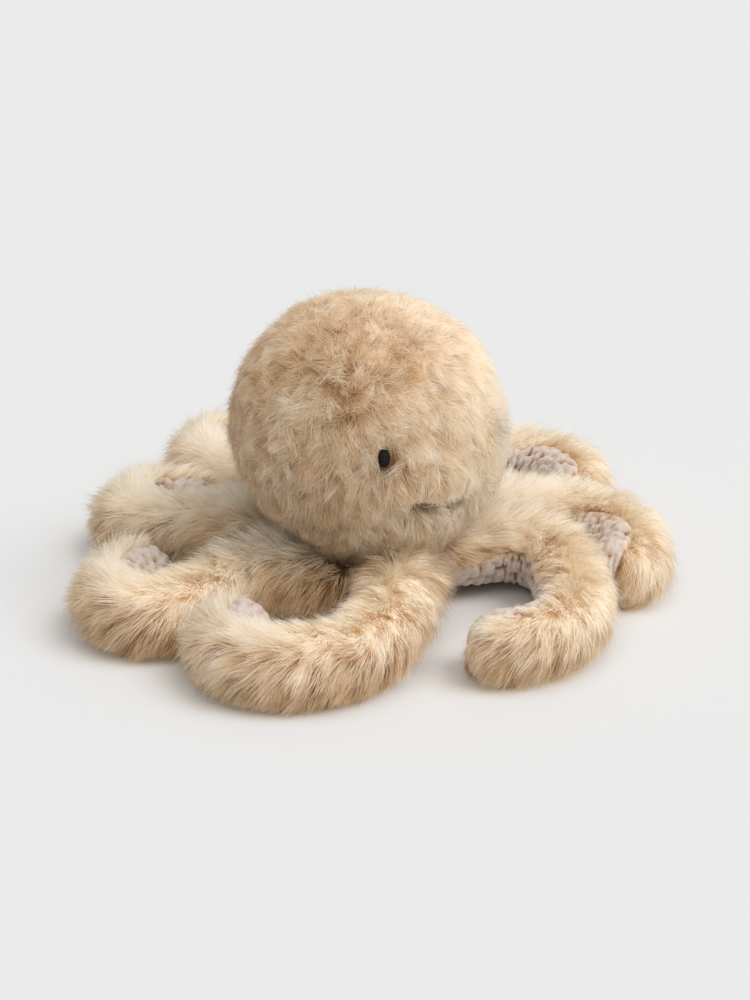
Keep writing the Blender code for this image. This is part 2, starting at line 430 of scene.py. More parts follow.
@dataclass(frozen=True)
class ThreadFinish(Finish):
    """Matt black embroidery thread with a fine twist."""

    name: str = "black_thread"
    dark: tuple = (6, 5, 6)
    light: tuple = (30, 25, 25)
    twist: float = 900.0
    unevenness: float = 3.0
    roughness: tuple[float, float] = (0.5, 0.7)
    specular: float = 0.3
    relief: tuple[float, float] = (0.00012, 0.7)

    def look(self, weave: Weaver) -> tuple[bpy.types.NodeSocket, ...]:
        """Strands that wind round the thread.

        Args:
            weave: takes the nodes.

        Returns:
            Its colour, its wear and its height.
        """
        twist = weave.node("ShaderNodeTexWave",
                           {"Vector": weave.place(), "Scale": self.twist,
                            "Distortion": self.unevenness, "Detail": 2.0},
                           bands_direction="DIAGONAL")
        strand = twist.outputs["Fac"]
        return weave.between(strand, self.dark, self.light), strand, strand


@dataclass(frozen=True)
class FillingFinish(Finish):
    """Loose white polyester fibre."""

    name: str = "polyester_filling"
    dark: tuple = (222, 222, 218)
    light: tuple = (247, 247, 244)
    tufts: tuple[float, float] = (240.0, 6.0)
    fibres: tuple[float, float] = (1800.0, 3.0)
    roughness: tuple[float, float] = (0.85, 1.0)
    relief: tuple[float, float] = (0.0006, 0.8)

    def look(self, weave: Weaver) -> tuple[bpy.types.NodeSocket, ...]:
        """Fine fibres in soft tufts.

        Args:
            weave: takes the nodes.

        Returns:
            Its colour, its wear and its height.
        """
        place = weave.place()
        tufts, fibres = weave.noise(place, *self.tufts), weave.noise(place, *self.fibres)
        return weave.between(tufts, self.dark, self.light), fibres, fibres


@dataclass(frozen=True)
class FloorFinish:
    """The studio's pale paper floor."""

    name: str = "studio_floor"
    colour: tuple[float, float, float, float] = (0.808, 0.826, 0.858, 1.0)
    roughness: float = 0.95

    def material(self) -> bpy.types.Material:
        """Builds the material.

        Returns:
            The material.
        """
        weave = Weaver(self.name)
        weave.dress({"Base Color": self.colour, "Roughness": self.roughness,
                     "Specular IOR Level": 0.0})
        return weave.material


class Slot(Enum):
    """The record's material slots."""

    FUR = "sand_fur"
    FLEECE = "cream_fleece"
    FILLING = "polyester_filling"
    THREAD = "black_thread"


@dataclass(frozen=True)
class Cloth:
    """A finish's material, with the record's slot that it fills."""

    material: bpy.types.Material
    slot: Slot


@dataclass
class Wardrobe:
    """Every cloth, made once."""

    pile: Cloth = field(default_factory=lambda: Cloth(PileFinish().material(), Slot.FUR))
    backing: Cloth = field(default_factory=lambda: Cloth(BackingFinish().material(), Slot.FUR))
    fleece: Cloth = field(default_factory=lambda: Cloth(FleeceFinish().material(), Slot.FLEECE))
    thread: Cloth = field(default_factory=lambda: Cloth(ThreadFinish().material(), Slot.THREAD))
    filling: Cloth = field(default_factory=lambda: Cloth(FillingFinish().material(), Slot.FILLING))


def make_piece(mesh: bpy.types.Mesh, cloth: Cloth, body: str, node: str = "", wall: float = 0.0) -> None:
    """Makes a piece of a mesh, with its name, and lets it ride and stand for its CAD node.

    Args:
        mesh: its mesh, in the frame that all pieces share.
        cloth: its finish.
        body: the CAD body that it rides on.
        node: the CAD node that it replaces, if any.
        wall: the thickness that it gets, inwards from its face, where it is a sheet.
    """
    mesh.materials.append(cloth.material)
    piece = bpy.data.objects.new(mesh.name, mesh)
    bpy.context.scene.collection.objects.link(piece)
    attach(piece, body)
    if node:
        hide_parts(node)
    if wall:
        sheet = piece.modifiers.new("wall", "SOLIDIFY")
        sheet.thickness = wall
        sheet.offset = -1.0
    LOG.info("%s: %d faces, rides %s", piece.name, len(mesh.polygons), body)


def to_mesh(shape: bmesh.types.BMesh, name: str) -> bpy.types.Mesh:
    """Turns a bmesh into a smooth mesh.

    Args:
        shape: the bmesh, which is freed.
        name: the mesh's name.

    Returns:
        The mesh.
    """
    mesh = bpy.data.meshes.new(name)
    shape.to_mesh(mesh)
    shape.free()
    mesh.shade_smooth()
    return mesh


def corners(mesh: bpy.types.Mesh, what: str = "co") -> Array:
    """Reads a mesh's vertices.

    Args:
        mesh: the mesh.
        what: "co" for their places or "normal" for their normals.

    Returns:
        Rows of X, Y and Z.
    """
    rows = np.empty(len(mesh.vertices) * 3)
    mesh.vertices.foreach_get(what, rows)
    return rows.reshape(-1, 3)


def move_corners(mesh: bpy.types.Mesh, places: Array) -> None:
    """Gives a mesh's vertices new places."""
    mesh.vertices.foreach_set("co", places.ravel())
    mesh.update()


def face_outwards(mesh: bpy.types.Mesh) -> None:
    """Turns the faces of a closed mesh outwards.

    Args:
        mesh: the mesh.
    """
    shape = bmesh.new()
    shape.from_mesh(mesh)
    bmesh.ops.recalc_face_normals(shape, faces=shape.faces)
    shape.to_mesh(mesh)
    shape.free()


def grid_mesh(name: str, columns: int, rows: int) -> tuple[bpy.types.Mesh, Array]:
    """A flat grid with its UV map.

    Args:
        name: the mesh's name.
        columns: cells across.
        rows: cells along.

    Returns:
        The mesh, and each vertex's two shares, from 0 to 1.
    """
    shape = bmesh.new()
    shape.loops.layers.uv.new(BAKE_MAP)
    bmesh.ops.create_grid(shape, x_segments=columns, y_segments=rows, size=0.5, calc_uvs=True)
    mesh = to_mesh(shape, name)
    return mesh, corners(mesh)[:, :2] + 0.5


@dataclass
class Growth:
    """What a batch of hairs grows from, one row for each hair."""

    root: Array
    normal: Array
    flow: Array
    length: Array
    lean: Array
    end: Array
    bend: Array
    tint: Array
    ruffle: Array


@dataclass(frozen=True)
class Pile:
    """How the hairs of a coat gather in locks and how each is made."""

    hairs_per_lock: int = 24
    lock_spread: float = 0.0021
    lock_size: tuple[float, float] = (0.6, 1.4)
    jitter: float = 0.0009
    steps: int = 2
    width: float = 0.00025
    widths: tuple[float, float] = (0.75, 1.25)
    pinch: tuple[float, float] = (0.25, 0.88)
    pinch_curve: float = 1.4
    hair_pinch: tuple[float, float] = (0.6, 1.0)
    stretch: float = 1.0
    stretch_limits: tuple[float, float] = (0.6, 1.25)
    deepening: float = 1.0
    droop: float = 0.18
    lock_turn: float = math.radians(24.0)
    lock_rise: float = math.radians(11.0)
    lock_curl: float = math.radians(26.0)
    lock_length: float = 0.15
    lock_shade: float = 0.19
    hair_turn: float = math.radians(9.0)
    hair_length: float = 0.16
    hair_rise: float = math.radians(6.0)
    hair_roll: float = 0.45
    hair_shade: float = 0.12
    tints: tuple[float, float] = (0.02, 0.98)
    loose_share: float = 0.08
    loose_length: float = 1.15
    loose_rise: float = math.radians(12.0)
    loose_pinch: float = 0.1
    loose_width: float = 0.7
    floor: float = 0.0004
    taper: tuple[float, ...] = (0.9, 0.85)
    pale_root: float = 0.45
    pale_from: tuple[float, float] = (0.5, 0.95)
    map_sides: tuple[float, float] = (-0.004, 0.004)

    def trace(self, growth: Growth, curl: Array) -> Array:
        """Follows each hair from its root.

        Args:
            growth: the hairs.
            curl: how far each turns over the surface by its tip, in radians.

        Returns:
            Points of every hair, root first: hairs by steps + 1 by 3.
        """
        points = np.empty((len(growth.root), self.steps + 1, 3))
        points[:, 0] = growth.root - growth.normal * self.width
        stride = growth.length[:, None] / self.steps
        for step in range(self.steps):
            share = (step + 0.5) / self.steps
            lean = growth.lean + (growth.end - growth.lean) * share ** 0.6
            lean = (lean - growth.bend * growth.length * share)[:, None]
            flow = turned(growth.flow, growth.normal, curl * share)
            way = np.cos(lean) * flow + np.sin(lean) * growth.normal - UP * self.droop * share
            points[:, step + 1] = points[:, step] + unit(way) * stride
        return points

    def grow(self, ground: Ground, locks: int, seed: int) -> tuple[Array, Array, Array, Array]:
        """Grows a coat on a ground.

        Args:
            ground: the surface that says how hairs grow on it.
            locks: number of locks.
            seed: of everything random in the coat.

        Returns:
            Each hair's points, its facing normal, its tint and its width.
        """
        rng = np.random.default_rng(seed)
        seats = ground.near(ground.scatter(locks), *rng.normal(0.0, self.jitter, (2, locks)))
        lock = np.repeat(np.arange(locks), self.hairs_per_lock)
        count = len(lock)
        angle = rng.uniform(0.0, 2.0 * np.pi, count)
        reach = np.sqrt(rng.uniform(0.0, 1.0, count)) * self.lock_spread
        reach *= rng.uniform(*self.lock_size, locks)[lock]
        places = ground.near(seats[lock], np.cos(angle) * reach, np.sin(angle) * reach)
        guides, hairs = ground.growth(seats), ground.growth(places)

        turn, curl, rise = (rng.normal(0.0, spread, locks) * guides.ruffle
                            for spread in (self.lock_turn, self.lock_curl, self.lock_rise))
        stretch = np.clip(1.0 + rng.normal(0.0, self.lock_length, locks), *self.stretch_limits)
        stretch *= self.stretch
        shade = rng.normal(0.0, self.lock_shade, locks)
        shade *= np.clip(0.3 + 0.7 * guides.ruffle, 0.0, 1.0)
        guides.flow = turned(guides.flow, guides.normal, turn)
        guides.length *= stretch
        guides.lean += rise
        swerve = turn[lock] + rng.normal(0.0, self.hair_turn, count)
        hairs.flow = turned(hairs.flow, hairs.normal, swerve)
        hairs.length *= stretch[lock] * (1.0 + rng.normal(0.0, self.hair_length, count))
        lift = np.abs(rng.normal(0.0, self.hair_rise, count))
        hairs.lean += rise[lock] + lift
        hairs.end += lift

        loose = rng.uniform(0.0, 1.0, count) < self.loose_share
        hairs.length[loose] *= self.loose_length
        hairs.lean[loose] += self.loose_rise
        pinch = rng.uniform(*self.pinch, locks)[lock] * rng.uniform(*self.hair_pinch, count)
        pinch *= np.clip(0.35 + 0.65 * hairs.ruffle, 0.3, 1.1)
        pinch[loose] = self.loose_pinch
        run = np.linspace(0.0, 1.0, self.steps + 1)[None, :, None]
        points, spines = self.trace(hairs, curl[lock]), self.trace(guides, curl)[lock]
        points += (spines - points) * pinch[:, None, None] * run ** self.pinch_curve
        points[:, :, 2] = np.maximum(points[:, :, 2], self.floor)
        points = ground.trimmed(points)

        roll = rng.normal(0.0, self.hair_roll, count)[:, None]
        facing = unit(hairs.normal + roll * np.cross(hairs.normal, hairs.flow))
        tint = hairs.tint + shade[lock] + rng.normal(0.0, self.hair_shade, count)
        tint = np.maximum(np.clip(tint, *self.tints) ** self.deepening, self.tints[0])
        width = self.width * rng.uniform(*self.widths, count)
        width[loose] *= self.loose_width
        return points, facing, tint, width

    def template(self) -> tuple[int, list[tuple[int, ...]]]:
        """One hair's faces, from a narrow grid whose last row is merged into a tip.

        Returns:
            The number of its vertices, and its faces as vertex numbers. Vertices 2k and 2k + 1 are
            the left and the right of row k, and the last is the tip.
        """
        shape = bmesh.new()
        bmesh.ops.create_grid(shape, x_segments=1, y_segments=self.steps, size=1.0)
        tip = [vert for vert in shape.verts if vert.co.y > 1.0 - 1e-6]
        bmesh.ops.pointmerge(shape, verts=tip, merge_co=(0.0, 1.0, 0.0))
        ordered = sorted(shape.verts, key=lambda vert: (round(vert.co.y, 4), vert.co.x))
        number = {vert: place for place, vert in enumerate(ordered)}
        faces = sorted((tuple(number[vert] for vert in face.verts) for face in shape.faces),
                       key=min)
        shape.free()
        return len(ordered), faces

    def mesh(self, name: str, points: Array, facing: Array, tint: Array,
             width: Array) -> bpy.types.Mesh:
        """Lays the template along every hair.

        Args:
            name: the mesh's name.
            points: hairs by steps + 1 by 3.
            facing: the way each hair's face looks.
            tint: each hair's tint, which becomes U.
            width: each hair's width.

        Returns:
            The mesh, with its UV map.
        """
        count, faces = self.template()
        hairs = len(points)
        ways = unit(np.diff(points, axis=1))
        rows = np.empty((hairs, count, 3))
        marks = np.empty((hairs, count, 2))
        base = np.interp(tint, self.pale_from, (0.0, self.pale_root))[:, None]
        for step in range(self.steps):
            half = (width * self.taper[step] / 2.0)[:, None]
            side = unit(np.cross(ways[:, step], facing)) * half
            rows[:, 2 * step] = points[:, step] - side
            rows[:, 2 * step + 1] = points[:, step] + side
            marks[:, 2 * step:2 * step + 2, 0] = tint[:, None] + np.array(self.map_sides)
            marks[:, 2 * step:2 * step + 2, 1] = base + (1.0 - base) * step / self.steps
        rows[:, -1] = points[:, -1]
        marks[:, -1, 0] = tint
        marks[:, -1, 1] = 1.0

        pattern = np.array([number for face in faces for number in face])
        sizes = np.array([len(face) for face in faces])
        corner = (pattern[None, :] + np.arange(hairs)[:, None] * count).ravel()
        starts = np.concatenate(([0], np.cumsum(np.tile(sizes, hairs))[:-1]))
        mesh = bpy.data.meshes.new(name)
        mesh.vertices.add(hairs * count)
        mesh.vertices.foreach_set("co", rows.ravel())
        mesh.loops.add(len(corner))
        mesh.loops.foreach_set("vertex_index", corner.astype(np.int32))
        mesh.polygons.add(len(starts))
        mesh.polygons.foreach_set("loop_start", starts.astype(np.int32))
        mesh.update(calc_edges=True)
        layer = mesh.uv_layers.new(name=BAKE_MAP)
        layer.uv.foreach_set("vector", marks.reshape(-1, 2)[corner].ravel())
        mesh.shade_smooth()
        mesh.normals_split_custom_set_from_vertices(np.repeat(facing, count, axis=0))
        return mesh


GUARD_HAIRS = Pile()
DOWN = Pile(hairs_per_lock=28, lock_spread=0.0024, steps=1, width=0.0002, pinch=(0.0, 0.45),
            stretch=0.72, lock_rise=math.radians(6.0), hair_turn=math.radians(22.0),
            hair_rise=math.radians(16.0), hair_length=0.2, loose_share=0.15, deepening=1.7)


class Ground:
    """A furred surface: where hairs stand on it and how they grow there."""

    def scatter(self, count: int) -> Array:
        """Places for a number of locks, evenly spread."""
        raise NotImplementedError

    def near(self, places: Array, across: Array, along: Array) -> Array:
        """Places moved over the surface by two distances."""
        raise NotImplementedError

    def growth(self, places: Array) -> Growth:
        """How hairs grow at places."""
        raise NotImplementedError

    def trimmed(self, points: Array) -> Array:
        """Hairs cut short where they would cover something."""
        return points


@dataclass(frozen=True)
class Spot:
    """A place on the head, by its bearing off the middle of the face and its rise, in degrees."""

    bearing: float
    rise: float

    def way(self) -> Array:
        """The unit vector from the head's middle to it."""
        return towards(self.bearing, self.rise)

    def mirrored(self) -> Spot:
        """The same place on the other side of the face."""
        return Spot(-self.bearing, self.rise)


@dataclass(frozen=True)
class Crease:
    """A line over the head where the cover is drawn in and the pile parts."""

    spots: tuple[Spot, ...]
    depth: float
    reach: float
    parting: float
    # How much paler the pile is along the crease; where it is below 0, the darker pile is painted shade
    # in the crease.
    tint: float

    def nearest(self, ways: Array, radius: float) -> tuple[Array, Array]:
        """Distance to the crease over the head, and the way from it.

        Args:
            ways: unit vectors from the head's middle.
            radius: of the head.

        Returns:
            The distances, and the vectors from the nearest point of the line.
        """
        best = np.full(len(ways), 1e9)
        offset = np.zeros_like(ways)
        line = [spot.way() for spot in self.spots]
        for start, end in zip(line, line[1:]):
            run = end - start
            share = np.clip((ways - start) @ run / (run @ run), 0.0, 1.0)
            away = (ways - start - share[:, None] * run) * radius
            gap = np.linalg.norm(away, axis=1)
            closer = gap < best
            best[closer], offset[closer] = gap[closer], away[closer]
        return best, offset


@dataclass(frozen=True)
class Swelling:
    """A low rise or hollow of the head."""

    spot: Spot
    height: float
    reach: float


@dataclass
class HeadForm(Ground):
    """The head's shape and the growth of its pile."""

    radius: float = 0.053
    height: float = 0.071
    neck: float = 0.022
    foot: float = 0.0028
    sheet: float = 0.002
    unevenness: float = 0.0006
    eye: Spot = Spot(-30.0, 8.5)
    eye_width: float = 0.0046
    eye_height: float = 0.0076
    eye_reach: float = 0.0042
    eye_parting: float = 3.0
    eye_rim: float = 0.0002
    eye_margins: tuple[float, float] = (0.0001, -0.0014)
    whorl: Spot = Spot(-50.0, 25.5)
    whorl_pull: float = 0.95
    whorl_reach: float = 0.72
    whorl_heart: float = 0.16
    ruffled: Spot = Spot(-42.0, 55.0)
    ruffled_reach: float = 0.026
    toss: float = math.radians(14.0)
    calm: Spot = Spot(70.0, 30.0)
    calm_reach: float = 0.05
    backwards: tuple[float, float, float] = (0.15, 0.27, 0.0)
    full_comb: float = 0.75
    base_tint: float = 0.54
    # The way towards the lamps: the pile is painted paler on that side, which is painted light.
    painted_light_way: tuple[float, float, float] = (0.8, -0.1, 0.6)
    brow: float = math.radians(68.0)
    brow_end: float = math.radians(58.0)
    brow_length: float = 0.0070
    fringe: float = math.radians(82.0)
    fringe_length: float = 0.0115
    lip: float = 0.0005
    lip_lean: float = math.radians(20.0)
    lip_line: tuple = ((-19.5, -0.004), (-17.8, 0.0014), (-7.0, 0.0016), (-5.0, 0.0004),
                       (0.0, 0.0006), (6.0, 0.0018), (8.5, -0.003))
    lip_roots: tuple = ((-7.0, 0.0002), (-5.0, 0.0008), (0.0, 0.0010), (6.0, 0.0024))
    pile_length: float = 0.0112
    short_length: float = 0.0074
    lean: float = math.radians(33.0)
    upright: float = math.radians(66.0)
    lean_end: float = math.radians(7.0)
    pile_mean: float = 0.003
    lowest_rise: float = math.radians(-61.0)
    mouth_reach: float = 16.5
    mouth_corner: float = -13.6
    mouth_middle: float = -15.5
    mouth: Crease = Crease((Spot(-17.0, -14.6), Spot(-8.0, -16.9), Spot(0.0, -17.5),
                            Spot(8.0, -16.9), Spot(17.0, -14.6)), 0.0012, 0.0030, 0.0, 0.25)
    # Beside the right eye the pile is painted darker, which is painted shade in the crease.
    eye_crease: Crease = Crease((Spot(-22.5, 20.0), Spot(-25.6, 12.0), Spot(-26.4, 1.0)),
                                0.0016, 0.0026, 0.8, -0.3)
    swellings: tuple[Swelling, ...] = (
        Swelling(Spot(1.6, 44.0), 0.0014, 0.011), Swelling(Spot(2.4, 9.0), -0.0008, 0.011),
        Swelling(Spot(-62.0, 62.0), 0.0008, 0.013), Swelling(Spot(-95.0, 30.0), -0.0006, 0.014),
        Swelling(Spot(66.0, 27.0), -0.0026, 0.020), Swelling(Spot(-8.0, -6.0), 0.0012, 0.009),
        Swelling(Spot(-165.0, 54.0), 0.0006, 0.020), Swelling(Spot(-142.0, 32.0), -0.0006, 0.017),
        Swelling(Spot(136.0, 66.0), -0.0030, 0.018))

    def creases(self) -> tuple[Crease, ...]:
        """The mouth's crease and the one beside the right eye."""
        return self.mouth, self.eye_crease

    def eyes(self) -> tuple[Spot, Spot]:
        """The right eye and the left."""
        return self.eye, self.eye.mirrored()

    def around(self, ways: Array, spot: Spot, reach: float) -> Array:
        """A hump over the head about a spot."""
        return hump(np.linalg.norm(ways - spot.way(), axis=1) * self.radius, reach)

    def swell(self, ways: Array) -> Array:
        """Works out how far the head stands proud of its ball.

        Args:
            ways: unit vectors from the head's middle.

        Returns:
            One distance for each.
        """
        rise = Ripples(0.05, 11).at(ways * self.radius) * self.unevenness
        for part in self.swellings:
            rise += part.height * self.around(ways, part.spot, part.reach)
        for crease in self.creases():
            rise -= crease.depth * hump(crease.nearest(ways, self.radius)[0], crease.reach)
        return rise

    def point(self, ways: Array) -> Array:
        """Places on the cover."""
        return ways * (self.radius + self.swell(ways))[:, None] + UP * self.height

    def tangents(self, ways: Array) -> tuple[Array, Array]:
        """Two ways over the ball, square to each other, at every place."""
        first = unit(np.cross(ways, np.array((0.31, 0.52, 0.79))))
        return first, np.cross(ways, first)

    def normal(self, ways: Array) -> Array:
        """Works out the cover's normals, from small steps over it.

        Args:
            ways: unit vectors from the head's middle.

        Returns:
            Unit vectors out of the cover.
        """
        step = 0.0005
        middle = self.swell(ways)
        tilt = np.zeros_like(ways)
        for side in self.tangents(ways):
            slope = (self.swell(unit(ways + side * step)) - middle) / (step * self.radius)
            tilt += side * slope[:, None]
        return unit(ways - tilt)

    def scatter(self, count: int) -> Array:
        """Spreads locks evenly, in a spiral from the crown to the neck.

        Args:
            count: number of locks.

        Returns:
            Unit vectors from the head's middle.
        """
        turn = np.arange(count)
        height = 1.0 - (turn + 0.5) / count * (1.0 - math.sin(self.lowest_rise))
        angle = turn * math.pi * (3.0 - math.sqrt(5.0))
        ring = np.sqrt(1.0 - height ** 2)
        return np.stack((ring * np.cos(angle), ring * np.sin(angle), height), axis=1)

    def near(self, places: Array, across: Array, along: Array) -> Array:
        """Places moved over the surface by two distances."""
        first, second = self.tangents(places)
        return unit(places + (first * across[:, None] + second * along[:, None]) / self.radius)

    def eye_gap(self, ways: Array, eye: Spot) -> tuple[Array, Array]:
        """How far places are from an eye's edge, and the way from its middle.

        Args:
            ways: unit vectors from the head's middle.
            eye: the eye's middle.

        Returns:
            The distances, below zero inside the eye, and unit vectors away from its middle.
        """
        middle = eye.way()
        side = unit(np.cross(UP, middle))
        up = np.cross(middle, side)
        offset = ways - middle
        across, rise = offset @ side * self.radius, offset @ up * self.radius
        reach = np.hypot(across / (self.eye_width / 2.0), rise / (self.eye_height / 2.0))
        gap = (1.0 - 1.0 / np.maximum(reach, 1e-6)) * np.hypot(across, rise)
        return np.where(ways @ middle > 0.0, gap, 1.0), unit(in_surface(offset, ways) + 1e-9)

    def off_whorl(self, ways: Array) -> Array:
        """Angles from the whorl that the pile runs out from."""
        return np.arccos(np.clip(ways @ self.whorl.way(), -1.0, 1.0))

    def combed(self, ways: Array, ruffled: Array) -> Array:
        """Works out how the pile is brushed: down and back, out of the whorl, and tossed.

        Args:
            ways: unit vectors from the head's middle.
            ruffled: how ruffled the pile is there, from 0 to 1.

        Returns:
            Vectors over the ball, longer where the brushing is stronger.
        """
        gap = self.off_whorl(ways)[:, None]
        away = unit(in_surface(ways - self.whorl.way(), ways) + 1e-9)
        spread = self.whorl_pull * hump(gap, self.whorl_reach) - 0.35 * hump(gap, self.whorl_heart)
        flow = in_surface(-UP, ways) + away * spread
        flow += in_surface(np.array(self.backwards), ways)
        for wavelength, seed, weight in ((0.016, 21, 0.18), (0.0065, 22, 0.14 + 0.5 * ruffled)):
            waves = in_surface(Ripples(wavelength, seed).vector(ways * self.radius), ways)
            flow += waves * np.reshape(weight, (-1, 1))
        return flow

    def tone(self, ways: Array, ruffled: Array, calm: Array) -> Array:
        """Works out the pile's tint, painted paler on the side that faces the lamps, which is painted
        light.

        Args:
            ways: unit vectors from the head's middle.
            ruffled: how ruffled the pile is there, from 0 to 1.
            calm: how calm it is, from 0 to 1.

        Returns:
            A tint for each, from 0, brown, to 1, pale.
        """
        tint = self.base_tint + 0.08 * Ripples(0.022, 31).at(ways * self.radius)
        tint += 0.26 * calm - 0.42 * ruffled + 0.16 * hump(self.off_whorl(ways), 0.12)
        # Painted light: paler on the side that faces the lamps.
        return tint + 0.26 * (ways @ np.array(self.painted_light_way))

    def growth(self, places: Array) -> Growth:
        """Works out how hairs grow.

        Args:
            places: unit vectors from the head's middle.

        Returns:
            The hairs, laid clear of the creases and the eyes.
        """
        ruffled = self.around(places, self.ruffled, self.ruffled_reach)
        calm = self.around(places, self.calm, self.calm_reach)
        flow = self.combed(places, ruffled)
        strength = np.clip(np.linalg.norm(flow, axis=1) / self.full_comb, 0.0, 1.0)
        length = self.short_length + (self.pile_length - self.short_length) * strength
        hairs = Growth(
            root=self.point(places), normal=self.normal(places), flow=flow,
            length=length * (1.0 - 0.2 * ruffled),
            lean=self.upright + (self.lean - self.upright) * strength + self.toss * ruffled,
            end=self.lean_end + self.toss * ruffled,
            bend=np.full(len(places), 1.0 / (self.radius + self.pile_mean)),
            tint=self.tone(places, ruffled, calm),
            ruffle=np.clip(1.1 + 0.45 * ruffled - 0.65 * calm, 0.3, 1.3))
        for crease in self.creases():
            self.part_at(crease, places, hairs)
        for eye in self.eyes():
            self.part_round(eye, places, hairs)
        hairs.flow = unit(in_surface(hairs.flow, hairs.normal))
        return hairs

    def part_at(self, crease: Crease, ways: Array, hairs: Growth) -> None:
        """Parts the hairs along a crease, and hangs those above the mouth over it.

        Args:
            crease: the crease.
            ways: unit vectors from the head's middle to the hairs.
            hairs: the hairs, which are changed.
        """
        distance, offset = crease.nearest(ways, self.radius)
        parting = crease.parting * hump(distance, crease.reach * 1.5)
        hairs.flow += unit(offset + 1e-9) * parting[:, None]
        # Paler or darker along the crease; the darker pile along the eye's crease is painted shade.
        hairs.tint += crease.tint * hump(distance, crease.reach * 0.8)
        near = hump(distance, crease.reach)
        hairs.length *= 1.0 - 0.3 * near
        low = (offset[:, 2] < 0.0) | (crease is not self.mouth)
        ease(hairs.lean, np.where(low, self.upright, self.lip_lean), near)
        ease(hairs.end, np.where(low, self.lean, 0.0), near)

    def part_round(self, eye: Spot, ways: Array, hairs: Growth) -> None:
        """Parts the hairs round an eye. Those in front of the left one make a fringe.

        Args:
            eye: the eye's middle.
            ways: unit vectors from the head's middle to the hairs.
            hairs: the hairs, which are changed.
        """
        distance, way = self.eye_gap(ways, eye)
        near = hump(np.maximum(distance, 0.0), self.eye_reach)
        hairs.flow += way * (self.eye_parting * near)[:, None]
        ease(hairs.lean, self.brow, near)
        ease(hairs.end, self.brow_end, near)
        ease(hairs.length, self.brow_length, near)
        hairs.ruffle *= 1.0 - 0.7 * near
        if eye.bearing > 0.0:
            fringed = near * np.clip(-(way @ np.cross(UP, eye.way())), 0.0, 1.0)
            ease(hairs.lean, self.fringe, fringed)
            ease(hairs.end, self.fringe, fringed)
            ease(hairs.length, self.fringe_length, fringed)
            hairs.tint += 0.3 * near
        hairs.length[distance < self.eye_rim] = 0.0

    def smile_rise(self, bearing: Array) -> Array:
        """The rise of the smile's line at a bearing, in degrees."""
        across = (bearing / self.mouth_reach) ** 2
        return self.mouth_middle + (self.mouth_corner - self.mouth_middle) * across

    def covers(self, points: Array) -> Array:
        """Finds the hairs that lie over an eye, or hang down over the smile's line.

        Args:
            points: hairs by any number of points by 3, root first.

        Returns:
            True for each such hair.
        """
        ways = unit(points - UP * self.height)
        flat = ways.reshape(-1, 3)
        hit = np.zeros(len(flat), bool)
        for eye, margin in zip(self.eyes(), self.eye_margins):
            hit |= self.eye_gap(flat, eye)[0] < margin
        hit = hit.reshape(points.shape[:2])
        bearing = np.degrees(np.arctan2(ways[..., 0], -ways[..., 1]))
        rise = np.degrees(np.arcsin(ways[..., 2])) - self.smile_rise(bearing)
        above = np.radians(rise) * self.radius
        edge = np.interp(bearing, *np.array(self.lip_line).T, left=-1.0, right=-1.0)
        edge += Ripples(0.0016, 61).at(points[:, 0])[:, None] * self.lip
        roots = np.interp(bearing[:, :1], *np.array(self.lip_roots).T)
        hit |= (above < edge) & (above[:, :1] > roots)
        return hit.any(axis=1)

    def trimmed(self, points: Array) -> Array:
        """Cuts hairs short where they would cover an eye or the mouth.

        Args:
            points: hairs by steps + 1 by 3, root first, which are changed.

        Returns:
            The same points.
        """
        rows = np.flatnonzero(self.covers(self.beads(points)))
        for _ in range(9):
            points[rows] = points[rows, :1] + (points[rows] - points[rows, :1]) * 0.82
            rows = rows[self.covers(self.beads(points[rows]))]
        return points

    def beads(self, points: Array) -> Array:
        """Eight points along each hair.

        Args:
            points: hairs by steps + 1 by 3, root first.

        Returns:
            Hairs by 8 by 3.
        """
        last = points.shape[1] - 1
        places = np.linspace(0.0, last, 8)
        low = np.minimum(places.astype(int), last - 1)
        run = points[:, low + 1] - points[:, low]
        return points[:, low] + run * (places - low)[:, None]


@dataclass(frozen=True)
class ArmRoute:
    """How one arm lies: seven equal stretches, each an arc."""

    bearing: float
    heading: float
    bends: tuple[float, ...]
    length_share: float


ARM_ROUTES = (
    ArmRoute(-104, -22, (-6, -11, -19, -31, -33, -50, -58), 1.0),
    ArmRoute(-156, -52, (-9, 31, 25, -32, -71, -49, -37), 0.94),
    ArmRoute(152, -8, (-52, 19, 40, -40, -71, -64, -54), 0.93),
    ArmRoute(114, -34, (-5, 3, 19, 5, -35, -52, -49), 0.93),
    ArmRoute(72, -19, (9, 8, 0, -17, -40, -56, -59), 0.95),
    ArmRoute(30, 5, (3, -4, -18, -31, -38, -39, -36), 0.99),
    ArmRoute(-11, 27, (-24, -3, -24, -30, -30, -27, -31), 0.88),
    ArmRoute(-56, 45, (-1, -48, -55, -10, -14, -36, -36), 1.0),
)


